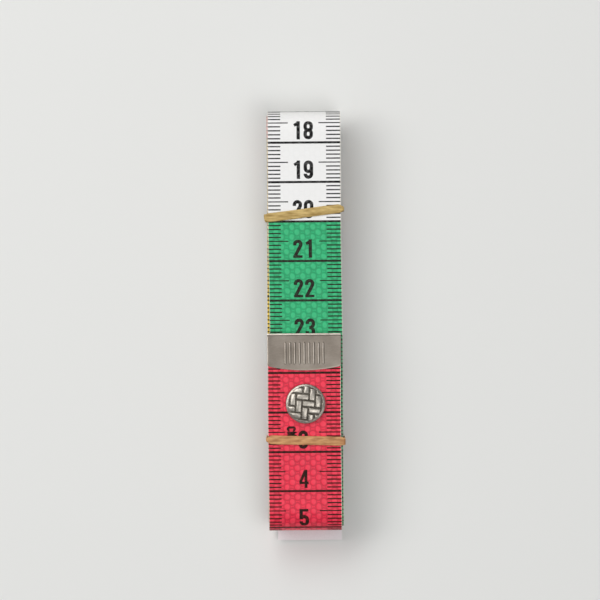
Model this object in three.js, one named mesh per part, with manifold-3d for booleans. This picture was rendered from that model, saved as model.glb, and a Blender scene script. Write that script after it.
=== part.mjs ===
import * as THREE from 'three';
import { mergeVertices } from 'three/addons/utils/BufferGeometryUtils.js';
import Module from 'manifold-3d';

// A cloth tape measure, 150 cm long, wound flat into a bundle and held by two rubber bands.
// Lengths are millimetres. X runs across the tape, Y along the bundle and Z up from the
// surface that it lies on. The front, with the zero end and the snap cap, faces up.

// The tape and its winding
const tapeWidth = 18.5;
const tapeThickness = 0.4;
const tapeLength = 1500;
const bundleLength = 106.6;
const turnGap = 0.44;
const looseGap = 0.5;
const foldExponent = 2.4;
const runSteps = 2;
const foldSteps = 14;
const rampSteps = 10;
const fewestRuns = 4;
const gapFloor = 0.4;

// The free end, with distances along the tape from its zero end. It lifts at a line across the
// tape beside the lower band.
const hingeShare = 0.26;
const hingeFromZero = 24.6;
const snapFromZero = 17.8;
const droopFromZero = 11.6;
const droopArc = 2.4;
const droopAngle = THREE.MathUtils.degToRad(5);
const droopSteps = 5;
const splitGap = 0.3;

// The folded metal tips
const tipOverlap = 0.1;
const tipSideLength = 8.3;
const tipCentreLength = 9.4;
const tipWall = 0.25;
const tipCornerRadius = 0.7;
const tipClearance = 0.45;
const tipFoldSteps = 8;
const tipEdgeSteps = 12;
const tipPanelLength = 5.6;
const tipPanelFromZero = 2.3;
const tipRibCount = 9;
const tipRibPitch = 1.2;
const tipRibWidth = 0.5;
const tipRibHeight = 0.16;
const tipRibRoundSteps = 3;
const tipRibSides = 8;

// The snap fastener
const fitGap = 0.15;
const rivetHoleRadius = 1.3;
const rivetRadius = 1.1;
const rivetBoreRadius = 0.7;
const rivetFlareRadius = 1.75;
const sheetWall = 0.28;
const capRadius = 5;
const capHeight = 1.75;
const capShoulder = 0.95;
const capRimInner = 3.7;
const domeSteps = 5;
const rivetHeadRadius = 4.1;
const weaveRadius = 4.5;
const weaveBarWidth = 1.15;
const weavePitch = 1.48;
const weaveFloat = 2;
const weaveReach = 3;
const weaveRelief = 0.16;
const weaveTurn = THREE.MathUtils.degToRad(-5);
const socketRadius = 4.8;
const socketHeight = 1.6;
const socketMouthRadius = 2.45;
const socketSeatGap = 0.3;
const springWireRadius = 0.22;
const springLegOffset = 1.85;
const springBendRadius = 0.6;
const springEndTurn = THREE.MathUtils.degToRad(9);
const springLegSteps = 4;
const springWallSteps = 10;
const springSteps = 60;
const springSides = 8;
const studFlangeRadius = 4.6;
const studNibRadius = 2.05;
const studNeckRadius = 1.75;
const studHeight = 1.7;
const studFlangeEdge = 0.5;
const studDish = 0.06;
const studHeadLength = 0.62;
const studShare = 0.081;
const eyeletRadius = 4;
const lathSegments = 36;

// The rubber bands and the card slip behind the bundle
const bandWidth = 2.2;
const bandThickness = 0.9;
const bandGap = 0.3;
const bandTipGap = 0.2;
const bandCorner = 1.2;
const bandInnerCorner = 0.3;
const bandCornerSteps = 4;
const upperBandShare = 0.256;
const upperBandTilt = THREE.MathUtils.degToRad(6.4);
const bandFromHinge = 1.1;
const slipWidth = 16.4;
const slipThickness = 0.5;
const slipShift = 0.9;
const slipOverhang = 2.9;
const slipLength = 41;

// Cuts run past what they cut by this much
const overrun = 0.18;

const wasm = await Module();
wasm.setup();

function toSolid(geometry) {
  const bare = geometry.index ? geometry.clone() : geometry;
  bare.deleteAttribute('normal');
  bare.deleteAttribute('uv');
  const merged = mergeVertices(bare);
  return new wasm.Manifold(new wasm.Mesh({
    numProp: 3,
    vertProperties: new Float32Array(merged.attributes.position.array),
    triVerts: new Uint32Array(merged.index.array),
  }));
}

function toGeometry(solid) {
  const mesh = solid.getMesh();
  const geometry = new THREE.BufferGeometry();
  geometry.setAttribute('position', new THREE.BufferAttribute(mesh.vertProperties, 3));
  geometry.setIndex(new THREE.BufferAttribute(mesh.triVerts, 1));
  return geometry;
}

// Materials
const coatedCloth = new THREE.MeshStandardMaterial({ color: 0xe8304f, roughness: 0.5, metalness: 0 });
const platedSteel = new THREE.MeshStandardMaterial({ color: 0x918a80, roughness: 0.35, metalness: 1 });
const nickelBrass = new THREE.MeshStandardMaterial({ color: 0xc9c6bf, roughness: 0.25, metalness: 1 });
const springSteel = new THREE.MeshStandardMaterial({ color: 0x8d8d8a, roughness: 0.3, metalness: 1 });
const yellowRubber = new THREE.MeshStandardMaterial({ color: 0xd8b870, roughness: 0.7, metalness: 0 });
const tanRubber = new THREE.MeshStandardMaterial({ color: 0xc99a63, roughness: 0.7, metalness: 0 });
const whiteCard = new THREE.MeshStandardMaterial({ color: 0xf0efec, roughness: 0.8, metalness: 0 });

// Places along the bundle
const hingeY = -hingeShare * bundleLength;
const upperBandY = upperBandShare * bundleLength;
const lowerBandY = hingeY - bandFromHinge - bandWidth / 2;
const studY = studShare * bundleLength;
const tipWidth = tapeWidth + 2 * tipOverlap;

// Levels of the winding, measured from its middle plane. Run 0 is the outer front run, odd runs
// are at the back, and the last run holds the inner end with its tip in the middle.
const pitch = tapeThickness + turnGap;
const tipThickness = tapeThickness + 2 * (fitGap + tipWall);
const coreLevel = tipThickness / 2 + tipClearance + tapeThickness / 2;

function runLevels(lastRun) {
  const levels = [];
  for (let run = 0; run <= lastRun; run++) {
    const fromCore = lastRun - run;
    const size = fromCore === 0 ? 0 : coreLevel + Math.floor((fromCore - 1) / 2) * pitch;
    levels.push(run % 2 === 0 ? size : -size);
  }
  levels[1] -= looseGap;
  return levels;
}

// Where the folds' centres lie at the two ends of the bundle
function foldCentres(levels) {
  const bottomRadius = (levels[0] - levels[1]) / 2;
  const topRadius = (levels[2] - levels[1]) / 2;
  return {
    bottom: -(bundleLength - tapeThickness) / 2 + bottomRadius,
    top: (bundleLength - tapeThickness) / 2 - topRadius,
  };
}

// A fold is half a rounded square that joins two levels. It starts on the level it comes from.
function foldPoints(centreY, side, from, to) {
  const radius = Math.abs(from - to) / 2;
  const middle = (from + to) / 2;
  const heading = Math.sign(from - to);
  const points = [];
  for (let step = 1; step < foldSteps; step++) {
    const angle = Math.PI * (0.5 - step / foldSteps);
    const reach = Math.abs(Math.cos(angle)) ** (2 / foldExponent);
    const rise = Math.sign(Math.sin(angle)) * Math.abs(Math.sin(angle)) ** (2 / foldExponent);
    points.push(new THREE.Vector2(centreY + side * radius * reach, middle + heading * radius * rise));
  }
  return points;
}

function pathLength(points) {
  let length = 0;
  for (let i = 1; i < points.length; i++) length += points[i].distanceTo(points[i - 1]);
  return length;
}

// The outer front run comes down from the free end's level to the bundle's own bottom fold
function rampPoints(levels, centres, startLevel) {
  const points = [];
  for (let step = 0; step <= rampSteps; step++) {
    const along = step / rampSteps;
    const y = THREE.MathUtils.lerp(hingeY - splitGap / 2, centres.bottom, along);
    const rise = (startLevel - levels[0]) * THREE.MathUtils.smoothstep(1 - along, 0, 1);
    points.push(new THREE.Vector2(y, levels[0] + rise));
  }
  return points;
}

function runPoints(fromY, toY, level) {
  const points = [];
  for (let step = 0; step <= runSteps; step++) {
    points.push(new THREE.Vector2(THREE.MathUtils.lerp(fromY, toY, step / runSteps), level));
  }
  return points;
}

// The free end's level: the socket under it stands just clear of the second front run
function freeLevelOver(levels) {
  return levels[2] + tapeThickness / 2 + socketSeatGap + socketHeight + fitGap + tapeThickness / 2;
}

// The winding's middle line, from the split at the free end to the inner end. The last fold
// turns back where that leaves the inner tip on a straight run.
function windingPath(lastRun) {
  const levels = runLevels(lastRun);
  const centres = foldCentres(levels);
  const path = rampPoints(levels, centres, freeLevelOver(levels));
  for (let run = 1; run < lastRun - 1; run++) {
    const side = run % 2 === 1 ? -1 : 1;
    const [here, there] = side < 0 ? [centres.bottom, centres.top] : [centres.top, centres.bottom];
    path.push(...foldPoints(here, side, levels[run - 1], levels[run]));
    path.push(...runPoints(here, there, levels[run]));
  }
  const side = lastRun % 2 === 0 ? -1 : 1;
  const [here, there] = side < 0 ? [centres.bottom, centres.top] : [centres.top, centres.bottom];
  path.push(...foldPoints(here, side, levels[lastRun - 2], levels[lastRun - 1]));
  const rest = tapeLength - hingeFromZero - splitGap / 2 - tipWall - fitGap - pathLength(path);
  const lastFold = foldPoints(0, -side, levels[lastRun - 1], levels[lastRun]);
  const foldLength = pathLength(lastFold);
  const turn = Math.min(Math.abs(there - here), rest - foldLength - 2 * tipCentreLength);
  const turnY = here - side * turn;
  path.push(...runPoints(here, turnY, levels[lastRun - 1]));
  path.push(...foldPoints(turnY, -side, levels[lastRun - 1], levels[lastRun]));
  const inner = rest - foldLength - turn;
  path.push(...runPoints(turnY, turnY + side * inner, levels[lastRun]));
  return { path, levels, centres, inner, span: Math.abs(there - here) };
}

// As many runs as take up the whole length of the tape
let winding = windingPath(fewestRuns);
for (let lastRun = fewestRuns + 1; winding.inner > winding.span; lastRun++) winding = windingPath(lastRun);
const { path: windingLine, levels: windingLevels } = winding;

// The least air between two turns, on points along the line that lie far apart along the tape
function leastGap(points) {
  const fine = [];
  for (let i = 1; i < points.length; i++) {
    const pieces = Math.ceil(points[i].distanceTo(points[i - 1]) / pitch);
    for (let k = 0; k < pieces; k++) fine.push(points[i - 1].clone().lerp(points[i], k / pieces));
  }
  const along = [0];
  for (let i = 1; i < fine.length; i++) along.push(along[i - 1] + fine[i].distanceTo(fine[i - 1]));
  let least = Infinity;
  for (let i = 0; i < fine.length; i++) {
    for (let j = i + 1; j + 1 < fine.length; j++) {
      if (along[j] - along[i] < Math.PI * coreLevel) continue;
      const edge = new THREE.Line3(
        new THREE.Vector3(fine[j].x, fine[j].y, 0),
        new THREE.Vector3(fine[j + 1].x, fine[j + 1].y, 0),
      );
      const point = new THREE.Vector3(fine[i].x, fine[i].y, 0);
      const near = edge.closestPointToPoint(point, true, new THREE.Vector3());
      least = Math.min(least, near.distanceTo(point));
    }
  }
  return least - tapeThickness;
}

const windingGap = leastGap(windingLine);
console.log(`turns: ${(windingLevels.length - 1) / 2}, least gap between turns: ${windingGap.toFixed(3)} mm`);
if (windingGap <= gapFloor) throw new Error('the turns of the tape lie too close');

// A flat ribbon along a line in the Y-Z plane, with mitred bends so that its thickness stays
function mitre(points, i) {
  const before = points[Math.max(i - 1, 0)];
  const after = points[Math.min(i + 1, points.length - 1)];
  const into = points[i].clone().sub(before);
  const out = after.clone().sub(points[i]);
  if (i === 0) into.copy(out);
  if (i === points.length - 1) out.copy(into);
  const normalIn = new THREE.Vector2(-into.y, into.x).normalize();
  const normalOut = new THREE.Vector2(-out.y, out.x).normalize();
  const mean = normalIn.clone().add(normalOut).normalize();
  return mean.divideScalar(mean.dot(normalIn));
}

function ribbon(points, width, thickness, centreX = 0) {
  const positions = [];
  const indices = [];
  points.forEach((point, i) => {
    const offset = mitre(points, i).multiplyScalar(thickness / 2);
    for (const across of [-1, 1]) {
      for (const face of [-1, 1]) {
        positions.push(centreX + across * width / 2, point.x + face * offset.x, point.y + face * offset.y);
      }
    }
  });
  const quad = (a, b, c, d) => indices.push(a, b, c, a, c, d);
  for (let i = 0; i + 1 < points.length; i++) {
    const [leftIn, leftOut, rightIn, rightOut] = [0, 1, 2, 3].map((corner) => 4 * i + corner);
    const [nextLeftIn, nextLeftOut, nextRightIn, nextRightOut] = [4, 5, 6, 7].map((corner) => 4 * i + corner);
    quad(leftOut, rightOut, nextRightOut, nextLeftOut);
    quad(rightIn, leftIn, nextLeftIn, nextRightIn);
    quad(rightIn, nextRightIn, nextRightOut, rightOut);
    quad(nextLeftIn, leftIn, leftOut, nextLeftOut);
  }
  const last = 4 * (points.length - 1);
  quad(0, 2, 3, 1);
  quad(last + 1, last + 3, last + 2, last);
  const geometry = new THREE.BufferGeometry();
  geometry.setAttribute('position', new THREE.Float32BufferAttribute(positions, 3));
  geometry.setIndex(indices);
  return geometry;
}

function rivetHole(y, z, reach) {
  const hole = new THREE.CylinderGeometry(rivetHoleRadius, rivetHoleRadius, 2 * reach, lathSegments);
  hole.rotateX(Math.PI / 2).translate(0, y, z);
  return toSolid(hole);
}

// Levels that the other pieces take from the winding
const freeLevel = freeLevelOver(windingLevels);
const freeTop = freeLevel + tapeThickness / 2;
const backFace = windingLevels[1] - tapeThickness / 2;
const secondTop = windingLevels[2] + tapeThickness / 2;
const snapY = hingeY + hingeFromZero - snapFromZero;

function tapeWinding() {
  const tape = toSolid(ribbon(windingLine, tapeWidth, tapeThickness));
  return toGeometry(tape.subtract(rivetHole(studY, windingLevels[1], tapeThickness / 2 + overrun)));
}

// The free end lies level over the socket and droops towards its tip
function freeEndLine() {
  const points = [new THREE.Vector2(hingeY + splitGap / 2, freeLevel)];
  const droopStart = hingeY + hingeFromZero - droopFromZero;
  points.push(new THREE.Vector2(droopStart, freeLevel));
  const step = droopArc / droopSteps;
  for (let i = 1; i <= droopSteps; i++) {
    const heading = -droopAngle * (i - 0.5) / droopSteps;
    const here = points.at(-1);
    points.push(new THREE.Vector2(here.x + step * Math.cos(heading), here.y + step * Math.sin(heading)));
  }
  const straight = droopFromZero - droopArc - tipWall - fitGap;
  const here = points.at(-1);
  const run = new THREE.Vector2(Math.cos(droopAngle), -Math.sin(droopAngle)).multiplyScalar(straight);
  points.push(here.clone().add(run));
  return points;
}

const freeLine = freeEndLine();

function tapeFreeEnd() {
  const tape = toSolid(ribbon(freeLine, tapeWidth, tapeThickness));
  return toGeometry(tape.subtract(rivetHole(snapY, freeLevel, tapeThickness / 2 + overrun)));
}

// A tip is one strip folded over the tape's end. Its edge over the tape bows outwards.
// Here the tape's end points along +Y, and the fold's outside is at Y 0.
function tipOutline() {
  const half = tipWidth / 2;
  const outline = new THREE.Shape();
  outline.moveTo(-half, overrun);
  outline.lineTo(-half, -tipSideLength + tipCornerRadius);
  outline.quadraticCurveTo(-half, -tipSideLength, -half + tipCornerRadius, -tipSideLength);
  const belly = 2 * tipCentreLength - tipSideLength;
  outline.quadraticCurveTo(0, -belly, half - tipCornerRadius, -tipSideLength);
  outline.quadraticCurveTo(half, -tipSideLength, half, -tipSideLength + tipCornerRadius);
  outline.lineTo(half, overrun);
  outline.closePath();
  return outline;
}

function tipProfile() {
  const outer = tipThickness / 2;
  const inner = outer - tipWall;
  const profile = new THREE.Shape();
  const open = -tipCentreLength - overrun;
  profile.moveTo(open, -outer);
  profile.lineTo(-outer, -outer);
  profile.absarc(-outer, 0, outer, -Math.PI / 2, Math.PI / 2, false);
  profile.lineTo(open, outer);
  profile.lineTo(open, inner);
  profile.lineTo(-outer, inner);
  profile.absarc(-outer, 0, inner, Math.PI / 2, -Math.PI / 2, true);
  profile.lineTo(open, -inner);
  profile.closePath();
  return profile;
}

function tipShell() {
  const strip = new THREE.ExtrudeGeometry(tipProfile(), {
    depth: tipWidth,
    bevelEnabled: false,
    curveSegments: tipFoldSteps,
  });
  strip.translate(0, 0, -tipWidth / 2).applyMatrix4(new THREE.Matrix4().makeBasis(
    new THREE.Vector3(0, 1, 0),
    new THREE.Vector3(0, 0, 1),
    new THREE.Vector3(1, 0, 0),
  ));
  const depth = tipThickness + 2 * overrun;
  const plan = new THREE.ExtrudeGeometry(tipOutline(), {
    depth,
    bevelEnabled: false,
    curveSegments: tipEdgeSteps,
  });
  plan.translate(0, 0, -depth / 2);
  return toSolid(strip).intersect(toSolid(plan));
}

// The front of the zero end's tip carries a plain pressed panel of upright ribs
function zeroTip() {
  let tip = tipShell();
  for (let i = 0; i < tipRibCount; i++) {
    const x = (i - (tipRibCount - 1) / 2) * tipRibPitch;
    const straight = tipPanelLength - tipRibWidth;
    const rib = new THREE.CapsuleGeometry(tipRibWidth / 2, straight, tipRibRoundSteps, tipRibSides);
    rib.scale(1, 1, 2 * tipRibHeight / tipRibWidth);
    rib.translate(x, -tipPanelFromZero - tipPanelLength / 2, tipThickness / 2);
    tip = tip.add(toSolid(rib));
  }
  return toGeometry(tip);
}

// Turned pieces of the snap. Each profile goes round the section once, with x the radius.
function turned(points) {
  const profile = points.map(([radius, height]) => new THREE.Vector2(radius, height));
  profile.push(profile[0].clone());
  const geometry = new THREE.LatheGeometry(profile, lathSegments);
  return geometry.rotateX(Math.PI / 2);
}

// The cap's domed shell turns in under the head of its rivet. Height 0 is the tape's surface.
function domeHeight(radius) {
  return capHeight - (capHeight - capShoulder) * (radius / (capRadius - sheetWall)) ** 2;
}

function domePoints(reach, lift) {
  const points = [];
  for (let step = 0; step <= domeSteps; step++) {
    const radius = reach * (1 - step / domeSteps);
    points.push([radius, domeHeight(radius) + lift]);
  }
  return points;
}

function capShell() {
  const inner = capRadius - sheetWall;
  return turned([
    [capRimInner, fitGap],
    [inner, fitGap],
    [capRadius, fitGap + sheetWall],
    [capRadius, capShoulder - sheetWall],
    ...domePoints(inner, 0),
    ...domePoints(inner, -sheetWall).reverse(),
    [inner, fitGap + sheetWall],
    [capRimInner, fitGap + sheetWall],
  ]);
}

// The weave pressed into the cap: straps that pass over two others and under two, in steps
function weaveBars() {
  const length = (weaveFloat - 1) * weavePitch + weaveBarWidth;
  const cycle = 2 * weaveFloat;
  const bars = [];
  for (let row = -weaveReach; row <= weaveReach; row++) {
    for (let repeat = -weaveFloat; repeat <= weaveFloat; repeat++) {
      const along = (cycle * repeat - row + 1 / 2) * weavePitch;
      const upright = new THREE.BoxGeometry(weaveBarWidth, length, 2 * capHeight);
      bars.push(upright.translate(row * weavePitch, along, capHeight));
      const level = new THREE.BoxGeometry(length, weaveBarWidth, 2 * capHeight);
      bars.push(level.translate(along + weaveFloat * weavePitch, row * weavePitch, capHeight));
    }
  }
  return bars.map((bar) => toSolid(bar.rotateZ(weaveTurn))).reduce((all, bar) => all.add(bar));
}

function snapCap() {
  const relief = turned([
    ...domePoints(weaveRadius, weaveRelief),
    ...domePoints(weaveRadius, -sheetWall / 2).reverse(),
  ]);
  return toGeometry(toSolid(capShell()).add(weaveBars().intersect(toSolid(relief))));
}

function snapRivet() {
  const headLow = 2 * fitGap + sheetWall;
  const headHigh = headLow + sheetWall;
  const plateLow = -tapeThickness - fitGap - sheetWall;
  const flareHigh = plateLow - fitGap;
  const flareLow = flareHigh - sheetWall;
  return turned([
    [rivetBoreRadius, flareLow],
    [rivetFlareRadius, flareLow],
    [rivetFlareRadius, flareHigh],
    [rivetRadius, flareHigh],
    [rivetRadius, headLow],
    [rivetHeadRadius, headLow],
    [rivetHeadRadius, headHigh],
    [0, headHigh],
    [0, headLow],
    [rivetBoreRadius, headLow],
  ]);
}

// The socket hangs under the tape with its mouth down. Height 0 is the tape's underside.
function snapSocket() {
  const top = -fitGap;
  const low = -fitGap - socketHeight;
  return turned([
    [rivetHoleRadius, top],
    [rivetHoleRadius, top - sheetWall],
    [socketRadius - 2 * sheetWall, top - sheetWall],
    [socketRadius - sheetWall, top - 2 * sheetWall],
    [socketRadius - sheetWall, low + 2 * sheetWall],
    [socketRadius - 2 * sheetWall, low + sheetWall],
    [socketMouthRadius, low + sheetWall],
    [socketMouthRadius, low],
    [socketRadius - 2 * sheetWall, low],
    [socketRadius, low + 2 * sheetWall],
    [socketRadius, top - 2 * sheetWall],
    [socketRadius - 2 * sheetWall, top],
  ]);
}

// The spring is one wire: a straight leg on each side of the mouth, joined round the wall
function socketSpring() {
  const wallRadius = socketRadius - sheetWall - springWireRadius - fitGap;
  const legAngle = Math.acos(springLegOffset / wallRadius);
  const legEnd = wallRadius * Math.sin(legAngle) - springBendRadius;
  const route = [];
  const leg = (x) => {
    for (let i = 0; i < springLegSteps; i++) {
      route.push(new THREE.Vector3(x, THREE.MathUtils.lerp(-legEnd, legEnd, i / (springLegSteps - 1)), 0));
    }
  };
  leg(-springLegOffset);
  for (let i = 0; i <= springWallSteps; i++) {
    const start = Math.PI - legAngle - springEndTurn;
    const end = springEndTurn - legAngle;
    const angle = THREE.MathUtils.lerp(start, end, i / springWallSteps);
    route.push(new THREE.Vector3(wallRadius * Math.cos(angle), wallRadius * Math.sin(angle), 0));
  }
  leg(springLegOffset);
  const section = new THREE.Shape();
  section.absarc(0, 0, springWireRadius, 0, 2 * Math.PI, false);
  const wire = new THREE.ExtrudeGeometry(section, {
    extrudePath: new THREE.CatmullRomCurve3(route, false, 'centripetal'),
    steps: springSteps,
    curveSegments: springSides,
    bevelEnabled: false,
  });
  return toGeometry(toSolid(wire));
}

// The stud stands out from the back of the tape. Here its nib points along +Z from the tape's face.
function snapStud() {
  const foot = fitGap;
  const end = fitGap + studHeight;
  const headLow = end - studHeadLength;
  return turned([
    [rivetHoleRadius, foot],
    [studFlangeRadius - sheetWall, foot],
    [studFlangeRadius, foot + sheetWall],
    [studFlangeRadius - sheetWall, foot + studFlangeEdge],
    [studNibRadius + sheetWall, foot + sheetWall + studDish],
    [studNeckRadius, foot + 2 * sheetWall],
    [studNeckRadius, headLow],
    [studNibRadius, headLow + sheetWall],
    [studNibRadius, end - sheetWall],
    [studNibRadius - sheetWall, end],
    [0, end],
    [0, end - sheetWall],
    [rivetHoleRadius, end - 2 * sheetWall],
  ]);
}

function studEyelet() {
  const headLow = -tapeThickness - fitGap;
  return turned([
    [rivetBoreRadius, headLow - sheetWall],
    [eyeletRadius, headLow - sheetWall],
    [eyeletRadius, headLow],
    [rivetRadius, headLow],
    [rivetRadius, fitGap + sheetWall],
    [rivetBoreRadius, fitGap + sheetWall],
  ]);
}

// A rubber band goes once round the bundle: a ring with rounded corners, standing on its edge
function roundedRectangle(shape, left, right, low, high, radius) {
  shape.moveTo(left + radius, low);
  shape.lineTo(right - radius, low);
  shape.absarc(right - radius, low + radius, radius, -Math.PI / 2, 0, false);
  shape.lineTo(right, high - radius);
  shape.absarc(right - radius, high - radius, radius, 0, Math.PI / 2, false);
  shape.lineTo(left + radius, high);
  shape.absarc(left + radius, high - radius, radius, Math.PI / 2, Math.PI, false);
  shape.lineTo(left, low + radius);
  shape.absarc(left + radius, low + radius, radius, Math.PI, 1.5 * Math.PI, false);
  return shape;
}

function rubberBand(halfInside, low, high) {
  const ring = roundedRectangle(
    new THREE.Shape(),
    -halfInside - bandThickness,
    halfInside + bandThickness,
    low - bandThickness,
    high + bandThickness,
    bandCorner,
  );
  const inside = roundedRectangle(new THREE.Path(), -halfInside, halfInside, low, high, bandInnerCorner);
  ring.holes.push(inside);
  const band = new THREE.ExtrudeGeometry(ring, {
    depth: bandWidth,
    bevelEnabled: false,
    curveSegments: bandCornerSteps,
  });
  return toGeometry(toSolid(band.translate(0, 0, -bandWidth / 2).rotateX(Math.PI / 2)));
}

// The upper band lies askew, so it takes more room across the tape. The lower one goes round
// the inner end's tip.
const upperBandInside = tapeWidth / 2 / Math.cos(upperBandTilt) + bandWidth / 2 * Math.tan(upperBandTilt) + bandGap;
const lowerBandInside = tipWidth / 2 + bandTipGap;
const slipLevel = backFace - fitGap - slipThickness / 2;
const slipBack = slipLevel - slipThickness / 2;

function cardSlip() {
  const end = -bundleLength / 2 - slipOverhang;
  const line = [new THREE.Vector2(end, slipLevel), new THREE.Vector2(end + slipLength, slipLevel)];
  return ribbon(line, slipWidth, slipThickness, slipShift);
}

function addPiece(parent, name, geometry, material) {
  const mesh = new THREE.Mesh(geometry, material);
  mesh.name = name;
  parent.add(mesh);
  return mesh;
}

// The bundle stands on the lower band and on the stud's nib
const bandFoot = slipBack - bandGap - bandThickness;
const studFoot = backFace - fitGap - studHeight;
const group = new THREE.Group();
group.position.set(0, slipOverhang / 2, -Math.min(bandFoot, studFoot));

addPiece(group, 'tape_winding', tapeWinding(), coatedCloth);
addPiece(group, 'tape_free_end', tapeFreeEnd(), coatedCloth);

const zeroEnd = new THREE.Group();
const tipDirection = new THREE.Vector2(Math.cos(droopAngle), -Math.sin(droopAngle));
const zeroPlace = freeLine.at(-1).clone().addScaledVector(tipDirection, fitGap + tipWall);
zeroEnd.position.set(0, zeroPlace.x, zeroPlace.y);
zeroEnd.rotation.x = -droopAngle;
group.add(zeroEnd);
addPiece(zeroEnd, 'zero_end_tip', zeroTip(), platedSteel);

const innerEnd = new THREE.Group();
const innerPlace = windingLine.at(-1);
const innerHeading = Math.sign(innerPlace.x - windingLine.at(-2).x);
innerEnd.position.set(0, innerPlace.x + innerHeading * (fitGap + tipWall), innerPlace.y);
innerEnd.rotation.z = innerHeading > 0 ? 0 : Math.PI;
group.add(innerEnd);
addPiece(innerEnd, 'inner_end_tip', toGeometry(tipShell()), platedSteel);

const snapFront = new THREE.Group();
snapFront.position.set(0, snapY, freeTop);
group.add(snapFront);
addPiece(snapFront, 'snap_cap', snapCap(), nickelBrass);
addPiece(snapFront, 'cap_rivet', toGeometry(toSolid(snapRivet())), nickelBrass);

const snapUnder = new THREE.Group();
snapUnder.position.set(0, snapY, freeTop - tapeThickness);
group.add(snapUnder);
addPiece(snapUnder, 'snap_socket', toGeometry(toSolid(snapSocket())), nickelBrass);
const spring = addPiece(snapUnder, 'socket_spring', socketSpring(), springSteel);
spring.position.z = -fitGap - socketHeight + sheetWall + fitGap + springWireRadius;

const studSide = new THREE.Group();
studSide.position.set(0, studY, backFace);
studSide.rotation.x = Math.PI;
group.add(studSide);
addPiece(studSide, 'snap_stud', toGeometry(toSolid(snapStud())), nickelBrass);
addPiece(studSide, 'stud_eyelet', toGeometry(toSolid(studEyelet())), nickelBrass);

const upperBand = addPiece(
  group,
  'upper_rubber_band',
  rubberBand(upperBandInside, backFace - bandGap, secondTop + bandGap),
  yellowRubber,
);
upperBand.position.y = upperBandY;
upperBand.rotation.z = upperBandTilt;

const lowerBand = addPiece(
  group,
  'lower_rubber_band',
  rubberBand(lowerBandInside, slipBack - bandGap, freeTop + bandGap),
  tanRubber,
);
lowerBand.position.y = lowerBandY;

addPiece(group, 'card_slip', cardSlip(), whiteCard);

export default group;
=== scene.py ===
import math
import bmesh
import bpy
from mathutils import Matrix, Vector


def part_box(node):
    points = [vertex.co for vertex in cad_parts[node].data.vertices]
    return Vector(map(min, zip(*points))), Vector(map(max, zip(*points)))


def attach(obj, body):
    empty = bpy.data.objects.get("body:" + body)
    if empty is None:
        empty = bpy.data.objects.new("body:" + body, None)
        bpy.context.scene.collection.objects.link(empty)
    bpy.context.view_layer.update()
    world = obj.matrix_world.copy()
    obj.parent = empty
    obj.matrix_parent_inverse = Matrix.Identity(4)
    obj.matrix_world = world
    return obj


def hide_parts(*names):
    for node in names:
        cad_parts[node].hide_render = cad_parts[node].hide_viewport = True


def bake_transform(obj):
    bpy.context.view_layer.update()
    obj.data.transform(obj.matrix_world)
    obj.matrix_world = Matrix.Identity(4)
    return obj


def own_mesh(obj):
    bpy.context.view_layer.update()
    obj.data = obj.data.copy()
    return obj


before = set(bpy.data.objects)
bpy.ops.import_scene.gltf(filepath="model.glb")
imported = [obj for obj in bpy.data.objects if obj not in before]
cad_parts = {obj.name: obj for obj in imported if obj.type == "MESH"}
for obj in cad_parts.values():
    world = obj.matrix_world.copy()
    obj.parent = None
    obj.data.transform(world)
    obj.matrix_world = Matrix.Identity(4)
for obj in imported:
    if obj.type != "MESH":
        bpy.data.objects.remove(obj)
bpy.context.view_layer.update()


# Camera, floor and light. The tape lies on a pale flat floor and is seen from straight above, a
# hair askew. A wide soft box stands beyond the upper fold, to the left, with a weaker one opposite.
def linear(code):
    """An sRGB hex colour as linear RGBA."""
    channels = [int(code[i:i + 2], 16) / 255 for i in (1, 3, 5)]
    return [c / 12.92 if c <= 0.04045 else ((c + 0.055) / 1.055) ** 2.4 for c in channels] + [1.0]


def plug(node, inputs):
    """Sets a node's inputs, by name or in order. Each takes a value or another node's output."""
    for key, value in (inputs.items() if isinstance(inputs, dict) else enumerate(inputs)):
        if isinstance(value, bpy.types.NodeSocket):
            node.id_data.links.new(value, node.inputs[key])
        else:
            node.inputs[key].default_value = value


def add(tree, kind, inputs=(), out=0, **settings):
    """Adds a node with its settings and inputs, and gives back one output, or the whole node."""
    made = tree.nodes.new(kind)
    for key, value in settings.items():
        setattr(made, key, value)
    plug(made, inputs)
    return made if out is None else made.outputs[out]


def new_finish(name):
    """A new material with its tree and its shader."""
    made = bpy.data.materials.new(name)
    made.use_nodes = True
    return made, made.node_tree, made.node_tree.nodes["Principled BSDF"]


def as_object(name, mesh, *finishes):
    """Makes a mesh that is done an object in the scene, with its materials."""
    made = bpy.data.objects.new(name, bpy.data.meshes.new(name))
    mesh.to_mesh(made.data)
    mesh.free()
    scene.collection.objects.link(made)
    for finish in finishes:
        made.data.materials.append(finish)
    return made


scene = bpy.context.scene
scene.view_settings.view_transform = "Standard"

camera_height = 1.1
camera_lens = 260.6
camera_roll = math.radians(-0.45)
view_centre = Vector((-0.0012, 0.00675, 0.0147))
camera = bpy.data.objects.new("camera", bpy.data.cameras.new("camera"))
camera.data.lens = camera_lens
camera.data.sensor_width = 36
camera.data.clip_end = 10
camera.location = view_centre + Vector((0, 0, camera_height))
camera.rotation_euler = (0, 0, camera_roll)
scene.collection.objects.link(camera)
scene.camera = camera

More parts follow.
